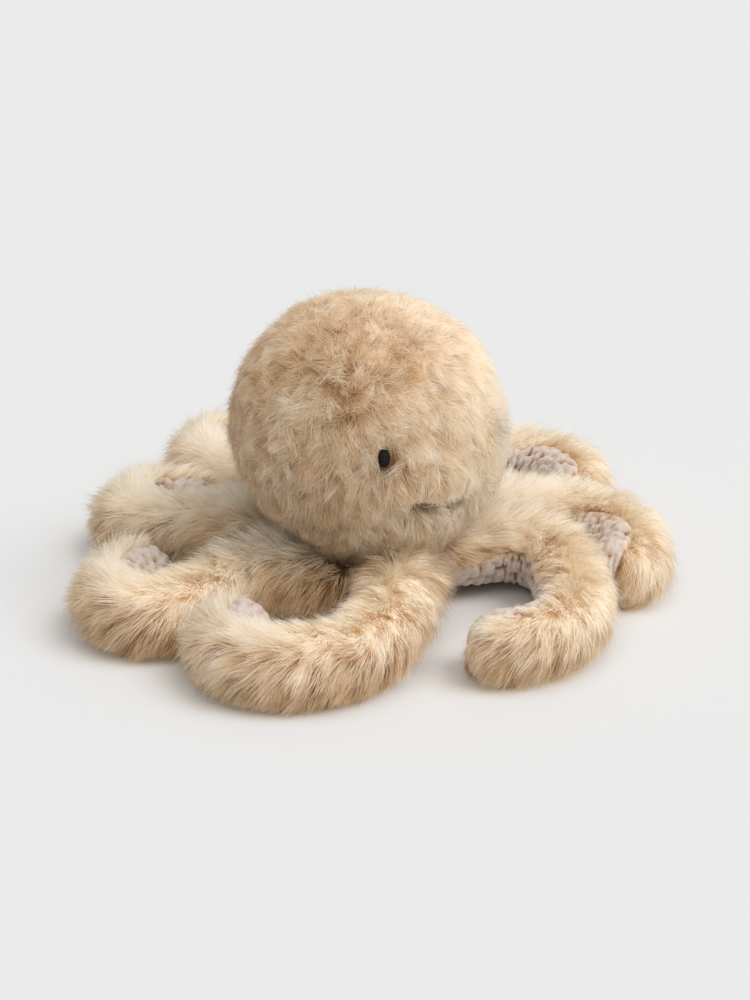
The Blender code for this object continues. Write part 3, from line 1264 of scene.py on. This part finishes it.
@dataclass
class ArmForm(Ground):
    """One arm's shape and the growth of its pile. Places are (distance from the hinge, angle)."""

    route: ArmRoute
    seed: int
    full_length: float = 0.136
    radius: float = 0.0125
    root_radius: float = 0.0095
    tip_radius: float = 0.0115
    hinge_radius: float = 0.0318
    hinge_height: float = 0.0155
    rise: float = 0.005
    floor_gap: float = 0.0002
    sheet: float = 0.002
    unevenness: float = 0.0004
    arc_parts: int = 24
    fleece_half: float = math.radians(60.0)
    pile_length: float = 0.0110
    pile_mean: float = 0.003
    root_reach: float = 0.024
    root_growth: float = 0.35
    # Painted shade: the pile is darker near the root, under the head.
    painted_root_shade: float = -0.35
    seam_reach: float = 0.0050
    seam_parting: float = 0.15
    # Painted shade: the pile is darker along the seams by the fleece.
    painted_seam_shade: float = -0.12
    tip_growth: float = 0.25
    lean: float = math.radians(52.0)
    lean_end: float = math.radians(20.0)
    upright: float = math.radians(74.0)
    full_comb: float = 0.6
    ruffle: float = 0.34
    base_tint: float = 0.1
    # Painted light: the pile is paler on top of the arm.
    painted_top_light: float = 0.7
    # The way towards the lamps: the pile is painted paler on that side, which is painted light.
    painted_light_way: tuple = (0.8, -0.1, 0.6)
    spiral: tuple[float, float] = (0.7548776662, 0.5698402910)
    swell_shares: tuple = ((0.0, 0.0), (0.06, 0.6), (0.14, 0.9), (0.45, 1.0), (0.85, 0.9),
                           (1.0, 0.67))
    roll_shares: tuple = ((0.0, 42.0), (0.35, 52.0), (0.6, 78.0), (0.85, 118.0), (1.0, 130.0))
    rise_shares: tuple = ((0.0, 0.0), (0.07, 0.62), (0.14, 1.0), (0.24, 0.8), (0.36, 0.35),
                          (0.48, 0.08), (0.56, 0.0), (1.0, 0.0))

    def __post_init__(self) -> None:
        """Works out the centre line."""
        self.length = self.full_length * self.route.length_share
        bends = np.repeat(np.array(self.route.bends) / self.arc_parts, self.arc_parts)
        turns = np.concatenate(([0.0], np.cumsum(bends))) + self.route.heading + self.route.bearing
        self.turns = np.radians(turns)
        self.marks = np.linspace(0.0, self.length, len(turns))
        middles = (self.turns[1:] + self.turns[:-1]) / 2.0
        stride = self.length / len(bends)
        start = math.radians(self.route.bearing)
        self.xs, self.ys = (np.concatenate(([0.0], np.cumsum(way(middles)))) * stride
                            + self.hinge_radius * way(start) for way in (np.cos, np.sin))

    def share(self, distance: Array) -> Array:
        """Distances as shares of the arm's length."""
        return np.clip(distance / self.length, 0.0, 1.0)

    def girth(self, distance: Array) -> Array:
        """Works out the arm's radius, as if its ends were cut off square.

        Args:
            distance: from the hinge along the arm.

        Returns:
            One radius for each.
        """
        share = self.share(distance)
        ends = self.root_radius + (self.tip_radius - self.root_radius) * share
        full = np.interp(share, *np.array(self.swell_shares).T)
        return ends + (self.radius - ends) * full

    def axes(self, distance: Array) -> tuple[Array, Array, Array]:
        """Works out the arm's own axes.

        Args:
            distance: from the hinge along the arm.

        Returns:
            Points of the centre line, and unit vectors forward and to the right.
        """
        inside = np.clip(distance, 0.0, self.length)
        turn = np.interp(inside, self.marks, self.turns)
        forward = np.stack((np.cos(turn), np.sin(turn), np.zeros_like(turn)), axis=1)
        right = np.stack((np.sin(turn), -np.cos(turn), np.zeros_like(turn)), axis=1)
        sink = np.minimum(1.0, inside / self.length * len(self.route.bends))
        lying = self.girth(inside) + self.floor_gap
        height = self.hinge_height + (lying - self.hinge_height) * sink
        height += self.rise * np.interp(inside / self.length, *np.array(self.rise_shares).T)
        centre = np.stack((np.interp(inside, self.marks, self.xs),
                           np.interp(inside, self.marks, self.ys), height), axis=1)
        return centre + forward * (distance - inside)[:, None], forward, right

    def skin(self, distance: Array, angle: Array, proud: Array | float = 0.0) -> tuple[Array, ...]:
        """Places on the arm.

        Args:
            distance: from the hinge along the arm.
            angle: from the middle of the fleece, to the right of travel, in radians.
            proud: how far outside the arm's plain radius.

        Returns:
            Points, normals, forward vectors and the vectors round the girth.
        """
        centre, forward, right = self.axes(distance)
        share = self.share(distance)
        turn = (angle + np.radians(np.interp(share, *np.array(self.roll_shares).T)))[:, None]
        radial = right * np.sin(turn) - UP * np.cos(turn)
        round_ = right * np.cos(turn) + UP * np.sin(turn)
        over = np.clip((distance - self.length) / self.tip_radius, 0.0, 1.0)
        under = np.clip(distance / self.root_radius, -1.0, 0.0)
        lean = (over + under)[:, None]
        flat = np.sqrt(np.maximum(1.0 - lean ** 2, 0.0))
        normal = unit(radial * flat + forward * lean)
        point = centre + radial * (self.girth(distance)[:, None] * flat) + normal * np.reshape(
            np.broadcast_to(proud, distance.shape), (-1, 1))
        return point, normal, forward, round_

    def lumps(self, points: Array) -> Array:
        """How the stuffing swells the arm here and there."""
        return Ripples(0.03, 400 + self.seed).at(points) * self.unevenness

    def ends(self, rooted: float, tipped: float) -> tuple[float, float]:
        """The distances at shares of the round ends' reach."""
        return -self.root_radius * rooted, self.length + self.tip_radius * tipped

    def seams(self) -> tuple[float, float]:
        """The angles of the fur strip's two edges."""
        return self.fleece_half, 2.0 * math.pi - self.fleece_half

    def scatter(self, count: int) -> Array:
        """Spreads locks evenly over the fur strip.

        Args:
            count: number of locks.

        Returns:
            Rows of distance and angle.
        """
        turns = (np.arange(count)[:, None] + 0.5) * self.spiral
        low, high = np.stack((self.ends(0.9, 0.995), self.seams()), axis=1)
        return low + (high - low) * np.mod(turns, 1.0)

    def near(self, places: Array, across: Array, along: Array) -> Array:
        """Moves places over the surface, within the fur strip.

        Args:
            places: rows of distance and angle.
            across: distances round the arm.
            along: distances along it.

        Returns:
            The new places.
        """
        distance = np.clip(places[:, 0] + along, *self.ends(0.95, 0.999))
        angle = np.clip(places[:, 1] + across / self.radius, *self.seams())
        return np.stack((distance, angle), axis=1)

    def growth(self, places: Array) -> Growth:
        """Works out how hairs grow.

        Args:
            places: rows of distance and angle.

        Returns:
            The hairs, upright at the root and laid over the fleece at the seams.
        """
        distance, angle = places[:, 0], places[:, 1]
        root, normal, forward, round_ = self.skin(distance, angle)
        root = root + normal * self.lumps(root)[:, None]
        share, slant = self.share(distance), normal[:, 2]
        start, end = self.seams()
        seam = np.maximum(np.minimum(angle - start, end - angle), 0.0) * self.radius
        over = hump(seam, self.seam_reach) * np.clip((0.62 - share) / 0.2, 0.5, 1.0)
        rooted = hump(np.maximum(distance, 0.0), self.root_reach)
        crowded = rooted * np.clip(0.6 + slant, 0.0, 1.0)
        ending = np.clip((share - 0.55) / 0.3, 0.0, 1.0) * (1.0 - hump(seam, 0.008))

        along = forward * (0.75 - 0.3 * share)[:, None]
        flow = in_surface(along - UP * (0.62 * (1.0 - 0.85 * over))[:, None], normal)
        for wavelength, seed, weight in ((0.018, 500, 0.13), (0.0065, 550, 0.11)):
            waves = Ripples(wavelength, seed + self.seed).vector(root)
            flow += in_surface(waves, normal) * weight
        flow += round_ * (self.seam_parting * np.where(angle < math.pi, over, -over))[:, None]
        strength = np.clip(np.linalg.norm(flow, axis=1) / self.full_comb, 0.0, 1.0)
        flow = unit(flow)

        lean = self.upright + (self.lean - self.upright) * strength
        ease(lean, self.upright, crowded)
        lean_end = self.lean_end * (1.0 + 0.6 * slant)
        ease(lean_end, self.lean, crowded)
        length = self.pile_length * (0.86 + 0.14 * strength) * (1.0 - 0.45 * over)
        length *= (1.0 + self.root_growth * crowded) * (1.0 + self.tip_growth * ending)
        length *= 1.0 - 0.3 * np.clip(-slant, 0.0, 1.0)
        tint = self.base_tint + 0.08 * Ripples(0.02, 600 + self.seed).at(root)
        # Painted light: paler on top.
        tint += self.painted_top_light * np.maximum(slant, -0.1)
        # Painted light: paler on the side that faces the lamps.
        tint += 0.5 * np.clip(normal @ np.array(self.painted_light_way), 0.0, 1.0)
        # Painted shade: darker along the seams by the fleece and near the root under the head.
        tint += self.painted_seam_shade * over + self.painted_root_shade * rooted
        bend = dot(flow, round_)[:, 0] ** 2 / (self.radius + self.pile_mean)
        past_tip = np.clip(distance - self.length, 0.0, None) / self.tip_radius
        bend += past_tip / (self.tip_radius + self.pile_mean)
        return Growth(root, normal, flow, length, lean, lean_end, bend, tint,
                      np.full(len(places), self.ruffle))


def bobbles(across: Array, along: Array, size: float, seed: int) -> Array:
    """Heights of the curly bobbles of fleece, from 0 in the pits to 1 on the crests.

    Args:
        across: distances over the sheet one way.
        along: distances the other way.
        size: of a bobble.
        seed: of their places.

    Returns:
        One height for each place.
    """
    cells = 64
    table = np.random.default_rng(seed).uniform(0.0, 1.0, (cells, cells, 3))
    column, row = np.floor(across / size).astype(int), np.floor(along / size).astype(int)
    best = np.full(len(across), 9.0)
    for right in (-1, 0, 1):
        for up in (-1, 0, 1):
            cell = table[(column + right) % cells, (row + up) % cells]
            centre_x = (column + right + 0.15 + 0.7 * cell[:, 0]) * size
            centre_y = (row + up + 0.15 + 0.7 * cell[:, 1]) * size
            reach = size * (0.55 + 0.2 * cell[:, 2])
            best = np.minimum(best, np.hypot(across - centre_x, along - centre_y) / reach)
    return np.sqrt(np.clip(1.0 - best ** 2, 0.0, 1.0))


def set_crest(mesh: bpy.types.Mesh, heights: Array) -> None:
    """Stores the heights of the bobbles for the finish."""
    crest = mesh.attributes.new(CREST, "FLOAT", "POINT")
    crest.data.foreach_set("value", heights.astype(np.float32))


@dataclass
class Head:
    """The head with its pile, its filling, its stitched face and the fleece panel under it."""

    finishes: Wardrobe
    form: HeadForm = field(default_factory=HeadForm)
    sides: int = 64
    rings: int = 40
    locks: int = 6600
    bald: float = 0.001
    fill: float = 0.9
    filling_gap: float = 0.0006
    dome: float = 0.0011
    patch_back: float = 0.15
    thread_gap: float = 0.0003
    stitch: float = 0.00036
    stitch_pitch: float = 1.75
    smile_stitches: int = 13
    smile_thread: float = 0.00066
    smile_proud: float = 0.0021
    smile_shift: float = 0.0008
    smile_wobble: float = 0.0003
    panel_cells: int = 36
    panel_bobble: float = 0.0036
    panel_foot: float = 0.0003
    panel_relief: float = 0.0009
    panel_wall: float = 0.0016

    def build(self) -> None:
        """Builds and dresses every piece."""
        self.build_skin()
        self.build_pile()
        self.build_filling()
        self.build_panel()
        for node, spot in zip(("eye_right", "eye_left"), self.form.eyes()):
            self.build_eye(node, spot)
        self.build_mouth()

    def turned_profile(self, name: str, inset: float, closed: bool) -> bpy.types.Mesh:
        """Spins the head's outline about Z.

        Args:
            name: the mesh's name.
            inset: how far inside the cover.
            closed: True to close the foot of the neck.

        Returns:
            The mesh, with the head's swellings.
        """
        form = self.form
        ball, neck = form.radius - inset, form.neck - inset
        end = math.pi - math.asin(neck / ball)
        outline = [(ball * math.sin(end * step / self.rings),
                    form.height + ball * math.cos(end * step / self.rings))
                   for step in range(self.rings + 1)]
        outline += [(neck, (outline[-1][1] + form.foot) / 2.0), (neck, form.foot)]
        if closed:
            outline.append((0.0, form.foot))
        shape = bmesh.new()
        line = [shape.verts.new((x, 0.0, z)) for x, z in outline]
        edges = [shape.edges.new(pair) for pair in zip(line, line[1:])]
        bmesh.ops.spin(shape, geom=line + edges, cent=(0.0, 0.0, 0.0), axis=(0.0, 0.0, 1.0),
                       angle=2.0 * math.pi, steps=self.sides, use_merge=True)
        bmesh.ops.remove_doubles(shape, verts=shape.verts, dist=1e-6)
        bmesh.ops.recalc_face_normals(shape, faces=shape.faces)
        mesh = to_mesh(shape, name)
        places = corners(mesh)
        ways = unit(places - UP * form.height)
        ballish = np.clip((ways[:, 2] - math.sin(form.lowest_rise)) / 0.1, 0.0, 1.0)
        move_corners(mesh, places + ways * (form.swell(ways) * ballish)[:, None])
        return mesh

    def build_skin(self) -> None:
        """The cover's knitted backing."""
        make_piece(self.turned_profile("head_skin", 0.0, False), self.finishes.backing, "head",
                   "head_cover", self.form.sheet)

    def build_pile(self) -> None:
        """The long pile, in parts that go round the head."""
        for kind, pile, parts in (("pile", GUARD_HAIRS, 3), ("down", DOWN, 2)):
            points, *rest = pile.grow(self.form, self.locks, 7)
            kept = np.linalg.norm(points[:, -1] - points[:, 0], axis=1) > self.bald
            around = np.arctan2(points[:, 0, 1], points[:, 0, 0])
            order = np.argsort(around, kind="stable")
            order = order[kept[order]]
            for number, rows in enumerate(np.array_split(order, parts), start=1):
                mesh = pile.mesh(f"head_{kind}_{number}", points[rows],
                                 *(part[rows] for part in rest))
                make_piece(mesh, self.finishes.pile, "head")

    def build_filling(self) -> None:
        """Loose fibre that fills the ball and the neck."""
        mesh = self.turned_profile("head_filling", self.form.sheet + self.filling_gap, True)
        make_piece(mesh, self.finishes.filling, "head", "head_stuffing")

    def build_panel(self) -> None:
        """The round fleece panel under the neck."""
        mesh, shares = grid_mesh("base_fleece", self.panel_cells, self.panel_cells)
        square = (shares - 0.5) * 2.0
        disc = square * np.sqrt(1.0 - square[:, ::-1] ** 2 / 2.0)
        flat = disc * self.form.neck
        height = bobbles(flat[:, 0] + 0.1, flat[:, 1] + 0.1, self.panel_bobble, 5)
        rim = np.clip((1.0 - np.linalg.norm(disc, axis=1)) / 0.08, 0.0, 1.0)
        drop = self.panel_foot + self.panel_relief * (1.0 - height * rim)
        move_corners(mesh, np.column_stack((flat[:, 1], flat[:, 0], drop)))
        set_crest(mesh, height)
        make_piece(mesh, self.finishes.fleece, "head", "base_panel", self.panel_wall)

    def add_stitch(self, shape: bmesh.types.BMesh, start: Vector, end: Vector, out: Vector,
                   radius: float) -> None:
        """Adds one stitch: a plump thread that dives into the cloth at both ends.

        Args:
            shape: the bmesh that takes it.
            start: where it comes up.
            end: where it goes down.
            out: the way out of the cloth.
            radius: of the thread.
        """
        made = bmesh.ops.create_uvsphere(shape, u_segments=8, v_segments=7, radius=1.0)["verts"]
        run = end - start
        side = out.cross(run).normalized()
        turn = Matrix((run.normalized(), side, out)).transposed().to_4x4()
        bmesh.ops.transform(shape, verts=made, matrix=Matrix.Rotation(math.pi / 2.0, 4, "Y"))
        bmesh.ops.scale(shape, vec=(run.length / 2.0 + radius * 0.4, radius, radius), verts=made)
        bmesh.ops.transform(shape, verts=made,
                            matrix=Matrix.Translation((start + end) / 2.0) @ turn)

    def finish_stitches(self, shape: bmesh.types.BMesh, name: str, node: str) -> None:
        """Makes a piece of the face from its stitches."""
        bmesh.ops.recalc_face_normals(shape, faces=shape.faces)
        make_piece(to_mesh(shape, name), self.finishes.thread, "head", node)

    def build_eye(self, node: str, spot: Spot) -> None:
        """One oval eye: a padded patch under rows of small stitches.

        Args:
            node: the CAD node that it stands for.
            spot: its middle on the head.
        """
        form = self.form
        out = Vector(spot.way())
        side = Z_UP.cross(out).normalized()
        up = out.cross(side)
        middle = out * (form.radius + self.thread_gap) + Z_UP * form.height
        shape = bmesh.new()
        patch = bmesh.ops.create_uvsphere(shape, u_segments=24, v_segments=12, radius=1.0)["verts"]
        bmesh.ops.scale(shape, verts=patch,
                        vec=(form.eye_width / 2.0, form.eye_height / 2.0, self.dome))
        low = [vert for vert in patch if vert.co.z < 0.0]
        bmesh.ops.scale(shape, verts=low, vec=(1.0, 1.0, self.patch_back))
        turn = Matrix((side, up, out)).transposed().to_4x4()
        bmesh.ops.transform(shape, verts=patch, matrix=Matrix.Translation(middle) @ turn)
        rng = np.random.default_rng(40 + int(spot.bearing > 0.0))

        def seat(across: float, height: float) -> Vector:
            """Picks a stitch's end on the dome, a little out of line.

            Args:
                across: its distance from the eye's middle line.
                height: its height as a share of the eye's half height.

            Returns:
                Its place.
            """
            bulge = max(0.0, 1.0 - (across / form.eye_width * 2.0) ** 2 - height ** 2)
            wobble = rng.uniform(-0.9, 0.9) * self.stitch
            lift = self.dome * math.sqrt(bulge) * 0.9 + rng.uniform(0.0, 1.0) * self.stitch
            return (middle + side * across + up * (height * form.eye_height / 2.0 + wobble)
                    + out * lift)

        rows = int(form.eye_height / (self.stitch * self.stitch_pitch))
        for row in range(rows):
            height = ((row + 0.5) / rows - 0.5) * 2.0
            half = math.sqrt(max(0.0, 1.0 - height ** 2)) * form.eye_width / 2.0
            cuts = [-half, *sorted(rng.uniform(-0.7, 0.7, 2) * half), half]
            for left, right in zip(cuts, cuts[1:]):
                if right - left >= self.stitch:
                    ends = seat(left, height), seat(right, height)
                    self.add_stitch(shape, *ends, out, self.stitch * rng.uniform(0.95, 1.2))
        self.finish_stitches(shape, f"{node}_stitches", node)

    def build_mouth(self) -> None:
        """The smile: short stitches end to end along the crease."""
        form = self.form
        rng = np.random.default_rng(50)
        shape = bmesh.new()

        def place(stitch: float) -> Vector:
            """Finds a point of the smile.

            Args:
                stitch: how many stitches it lies from one end.

            Returns:
                Its place.
            """
            bearing = form.mouth_reach * (2.0 * stitch / self.smile_stitches - 1.0)
            way = Vector(Spot(bearing, form.smile_rise(bearing)).way())
            return way * (form.radius + self.smile_proud) + Z_UP * (form.height + self.smile_shift)

        for number in range(self.smile_stitches):
            start, end = place(number + 0.08), place(number + 0.92)
            out = ((start + end) / 2.0 - Z_UP * form.height).normalized()
            lift = out * rng.uniform(0.0, self.smile_wobble)
            self.add_stitch(shape, start + lift, end + lift, out,
                            self.smile_thread * rng.uniform(0.85, 1.2))
        self.finish_stitches(shape, "mouth_stitches", "mouth_stitching")


@dataclass
class Arm:
    """One arm: its skin, its pile, its fleece underside and its filling."""

    number: int
    route: ArmRoute
    finishes: Wardrobe
    locks: int = 1400
    fill: float = 0.8
    skin_cells: tuple[int, int] = (18, 66)
    skin_floor: float = 0.0002
    fleece_cells: tuple[int, int] = (26, 150)
    fleece_floor: float = 0.0003
    fleece_wall: float = 0.0012
    fleece_lap: float = 1.03
    bobble: float = 0.0039
    bobble_height: float = 0.0023
    rim_sink: float = 0.0006
    filling_gap: float = 0.0012
    end_marks: tuple[float, ...] = (0.0, 0.08, 0.92, 1.0)

    def build(self) -> None:
        """Builds and dresses every piece."""
        self.body = f"arm_{self.number}"
        self.form = ArmForm(self.route, self.number)
        self.build_skin()
        self.build_pile()
        self.build_fleece()
        self.build_filling()

    def span(self, shares: Array) -> Array:
        """Spreads shares along the arm, closer together over its round ends.

        Args:
            shares: from 0 to 1.

        Returns:
            Distances from the hinge.
        """
        form = self.form
        start, end = form.ends(1.0, 1.0)
        distance = np.interp(shares, self.end_marks, (start, 0.0, form.length, end))
        over = np.clip((distance - form.length) / form.tip_radius, 0.0, 1.0)
        under = np.clip(distance / form.root_radius, -1.0, 0.0)
        return (np.clip(distance, 0.0, form.length)
                + np.sin(over * math.pi / 2.0) * form.tip_radius
                + np.sin(under * math.pi / 2.0) * form.root_radius)

    def strip(self, name: str, cells: tuple[int, int]) -> tuple[bpy.types.Mesh, Array, Array]:
        """A grid that will be wrapped on the arm.

        Args:
            name: the mesh's name.
            cells: across and along.

        Returns:
            The mesh, its vertices' shares across it, and their distances from the hinge.
        """
        mesh, shares = grid_mesh(name, *cells)
        return mesh, shares[:, 0], self.span(shares[:, 1] * 0.985 + 0.005)

    def lay(self, mesh: bpy.types.Mesh, points: Array, normals: Array, floor: float) -> None:
        """Lays a strip on the arm, above the floor, and turns its faces out if they look in.

        Args:
            mesh: the strip.
            points: the places of its vertices.
            normals: the arm's normals there.
            floor: the lowest height.
        """
        points[:, 2] = np.maximum(points[:, 2], floor)
        move_corners(mesh, points)
        if (corners(mesh, "normal") * normals).sum() < 0.0:
            mesh.flip_normals()

    def build_skin(self) -> None:
        """The backing of the fur strip."""
        form = self.form
        mesh, across, distance = self.strip(f"{self.body}_skin", self.skin_cells)
        start, end = form.seams()
        point, normal, _, _ = form.skin(distance, start + (end - start) * across)
        self.lay(mesh, point + normal * form.lumps(point)[:, None], normal, self.skin_floor)
        make_piece(mesh, self.finishes.backing, self.body, f"{self.body}_fur", form.sheet)

    def build_pile(self) -> None:
        """The long pile of the fur strip."""
        for kind, pile in (("pile", GUARD_HAIRS), ("down", DOWN)):
            coat = pile.grow(self.form, self.locks, 70 + self.number)
            make_piece(pile.mesh(f"{self.body}_{kind}", *coat), self.finishes.pile, self.body)

    def build_fleece(self) -> None:
        """The bobbly strip that closes the arm underneath."""
        form = self.form
        mesh, across, distance = self.strip(f"{self.body}_fleece_strip", self.fleece_cells)
        side = 2.0 * across - 1.0
        angle = side * (form.fleece_half * self.fleece_lap)
        height = bobbles(angle * form.radius + 0.2, distance + 0.2, self.bobble, 80 + self.number)
        rim = np.clip((1.0 - np.abs(side)) / 0.12, 0.0, 1.0)
        rooted = np.clip((distance + 0.002) / 0.014, 0.1, 1.0)
        proud = self.bobble_height * height * (0.25 + 0.75 * rim) * rooted
        point, normal, _, _ = form.skin(distance, angle, proud - self.rim_sink * (1.0 - rim))
        self.lay(mesh, point, normal, self.fleece_floor)
        set_crest(mesh, height)
        make_piece(mesh, self.finishes.fleece, self.body, f"{self.body}_fleece",
                   self.fleece_wall)

    def build_filling(self) -> None:
        """Loose fibre that fills the arm."""
        form = self.form
        shape = bmesh.new()
        bmesh.ops.create_uvsphere(shape, u_segments=16, v_segments=44, radius=1.0)
        mesh = to_mesh(shape, f"{self.body}_filling")
        places = corners(mesh)
        distance = self.span(np.arccos(np.clip(places[:, 2], -1.0, 1.0)) / math.pi)
        angle = np.arctan2(places[:, 1], places[:, 0])
        move_corners(mesh, form.skin(distance, angle, -(form.sheet + self.filling_gap))[0])
        face_outwards(mesh)
        make_piece(mesh, self.finishes.filling, self.body, f"{self.body}_stuffing")


@dataclass(frozen=True)
class Lamp:
    """A broad soft lamp, far away. Its azimuth is counted as the camera's is."""

    name: str
    azimuth: float
    elevation: float
    strength: float
    spread: float
    colour: tuple[float, float, float]


@dataclass(frozen=True)
class Studio:
    """Pale floor, soft lights and the camera at the photograph's angle."""

    azimuth: float = -36.0
    elevation: float = 24.0
    distance: float = 1.0
    target: tuple[float, float, float] = (0.0016, -0.0012, 0.038)
    lens: float = 87.8
    sensor: float = 36.0
    clip: tuple[float, float] = (0.05, 30.0)
    floor_size: float = 6.0
    backdrop: float = 0.85
    world: float = 0.36
    world_colour: tuple[float, float, float, float] = (1.0, 0.968, 0.91, 1.0)
    lamps: tuple[Lamp, ...] = (Lamp("key", 46.0, 52.0, 1.6, 34.0, (1.0, 0.985, 0.96)),
                               Lamp("top", -48.0, 76.0, 0.85, 60.0, (1.0, 0.99, 0.97)))

    def build(self) -> None:
        """Builds floor, world, lights and camera."""
        self.build_floor()
        self.build_world()
        for lamp in self.lamps:
            self.build_lamp(lamp)
        self.build_camera()

    def build_floor(self) -> None:
        """A wide flat floor."""
        shape = bmesh.new()
        bmesh.ops.create_grid(shape, x_segments=4, y_segments=4, size=self.floor_size)
        floor = bpy.data.objects.new("studio_floor", to_mesh(shape, "studio_floor"))
        floor.data.materials.append(FloorFinish().material())
        bpy.context.scene.collection.objects.link(floor)

    def build_world(self) -> None:
        """An even dome of light, seen as the backdrop's grey."""
        world = bpy.data.worlds.new("studio_world")
        bpy.context.scene.world = world
        world.use_nodes = True
        nodes, links = world.node_tree.nodes, world.node_tree.links
        nodes.clear()
        rays = nodes.new("ShaderNodeLightPath").outputs
        seen = rays["Is Camera Ray"]
        for ray in ("Is Glossy Ray", "Is Transmission Ray"):
            either = nodes.new("ShaderNodeMath")
            either.operation = "MAXIMUM"
            links.new(seen, either.inputs[0])
            links.new(rays[ray], either.inputs[1])
            seen = either.outputs[0]
        mix, out = nodes.new("ShaderNodeMixShader"), nodes.new("ShaderNodeOutputWorld")
        links.new(seen, mix.inputs[0])
        backdrop = (self.backdrop, self.backdrop, self.backdrop, 1.0)
        for place, colour, strength in ((1, self.world_colour, self.world), (2, backdrop, 1.0)):
            light = nodes.new("ShaderNodeBackground")
            light.inputs["Color"].default_value = colour
            light.inputs["Strength"].default_value = strength
            links.new(light.outputs[0], mix.inputs[place])
        links.new(mix.outputs[0], out.inputs[0])

    def build_lamp(self, lamp: Lamp) -> None:
        """Builds one lamp.

        Args:
            lamp: the lamp.
        """
        light = bpy.data.lights.new(lamp.name, "SUN")
        light.energy = lamp.strength
        light.angle = math.radians(lamp.spread)
        light.color = lamp.colour
        sun = bpy.data.objects.new(lamp.name, light)
        back = Vector(towards(lamp.azimuth, lamp.elevation))
        sun.rotation_euler = back.to_track_quat("Z", "Y").to_euler()
        bpy.context.scene.collection.objects.link(sun)

    def build_camera(self) -> None:
        """The camera."""
        data = bpy.data.cameras.new("camera")
        data.lens = self.lens
        data.sensor_width = self.sensor
        data.clip_start, data.clip_end = self.clip
        camera = bpy.data.objects.new("camera", data)
        back = Vector(towards(self.azimuth, self.elevation))
        camera.location = Vector(self.target) + back * self.distance
        camera.rotation_euler = back.to_track_quat("Z", "Y").to_euler()
        bpy.context.scene.collection.objects.link(camera)
        bpy.context.scene.camera = camera


def main() -> None:
    """Builds the octopus and its studio."""
    logging.basicConfig(level=logging.INFO, format="%(message)s")
    bpy.context.scene.view_settings.view_transform = "Standard"
    Studio().build()
    finishes = Wardrobe()
    Head(finishes).build()
    for number, route in enumerate(ARM_ROUTES, start=1):
        Arm(number, route, finishes).build()
    LOG.info("octopus done")


if __name__ == "__main__":
    main()
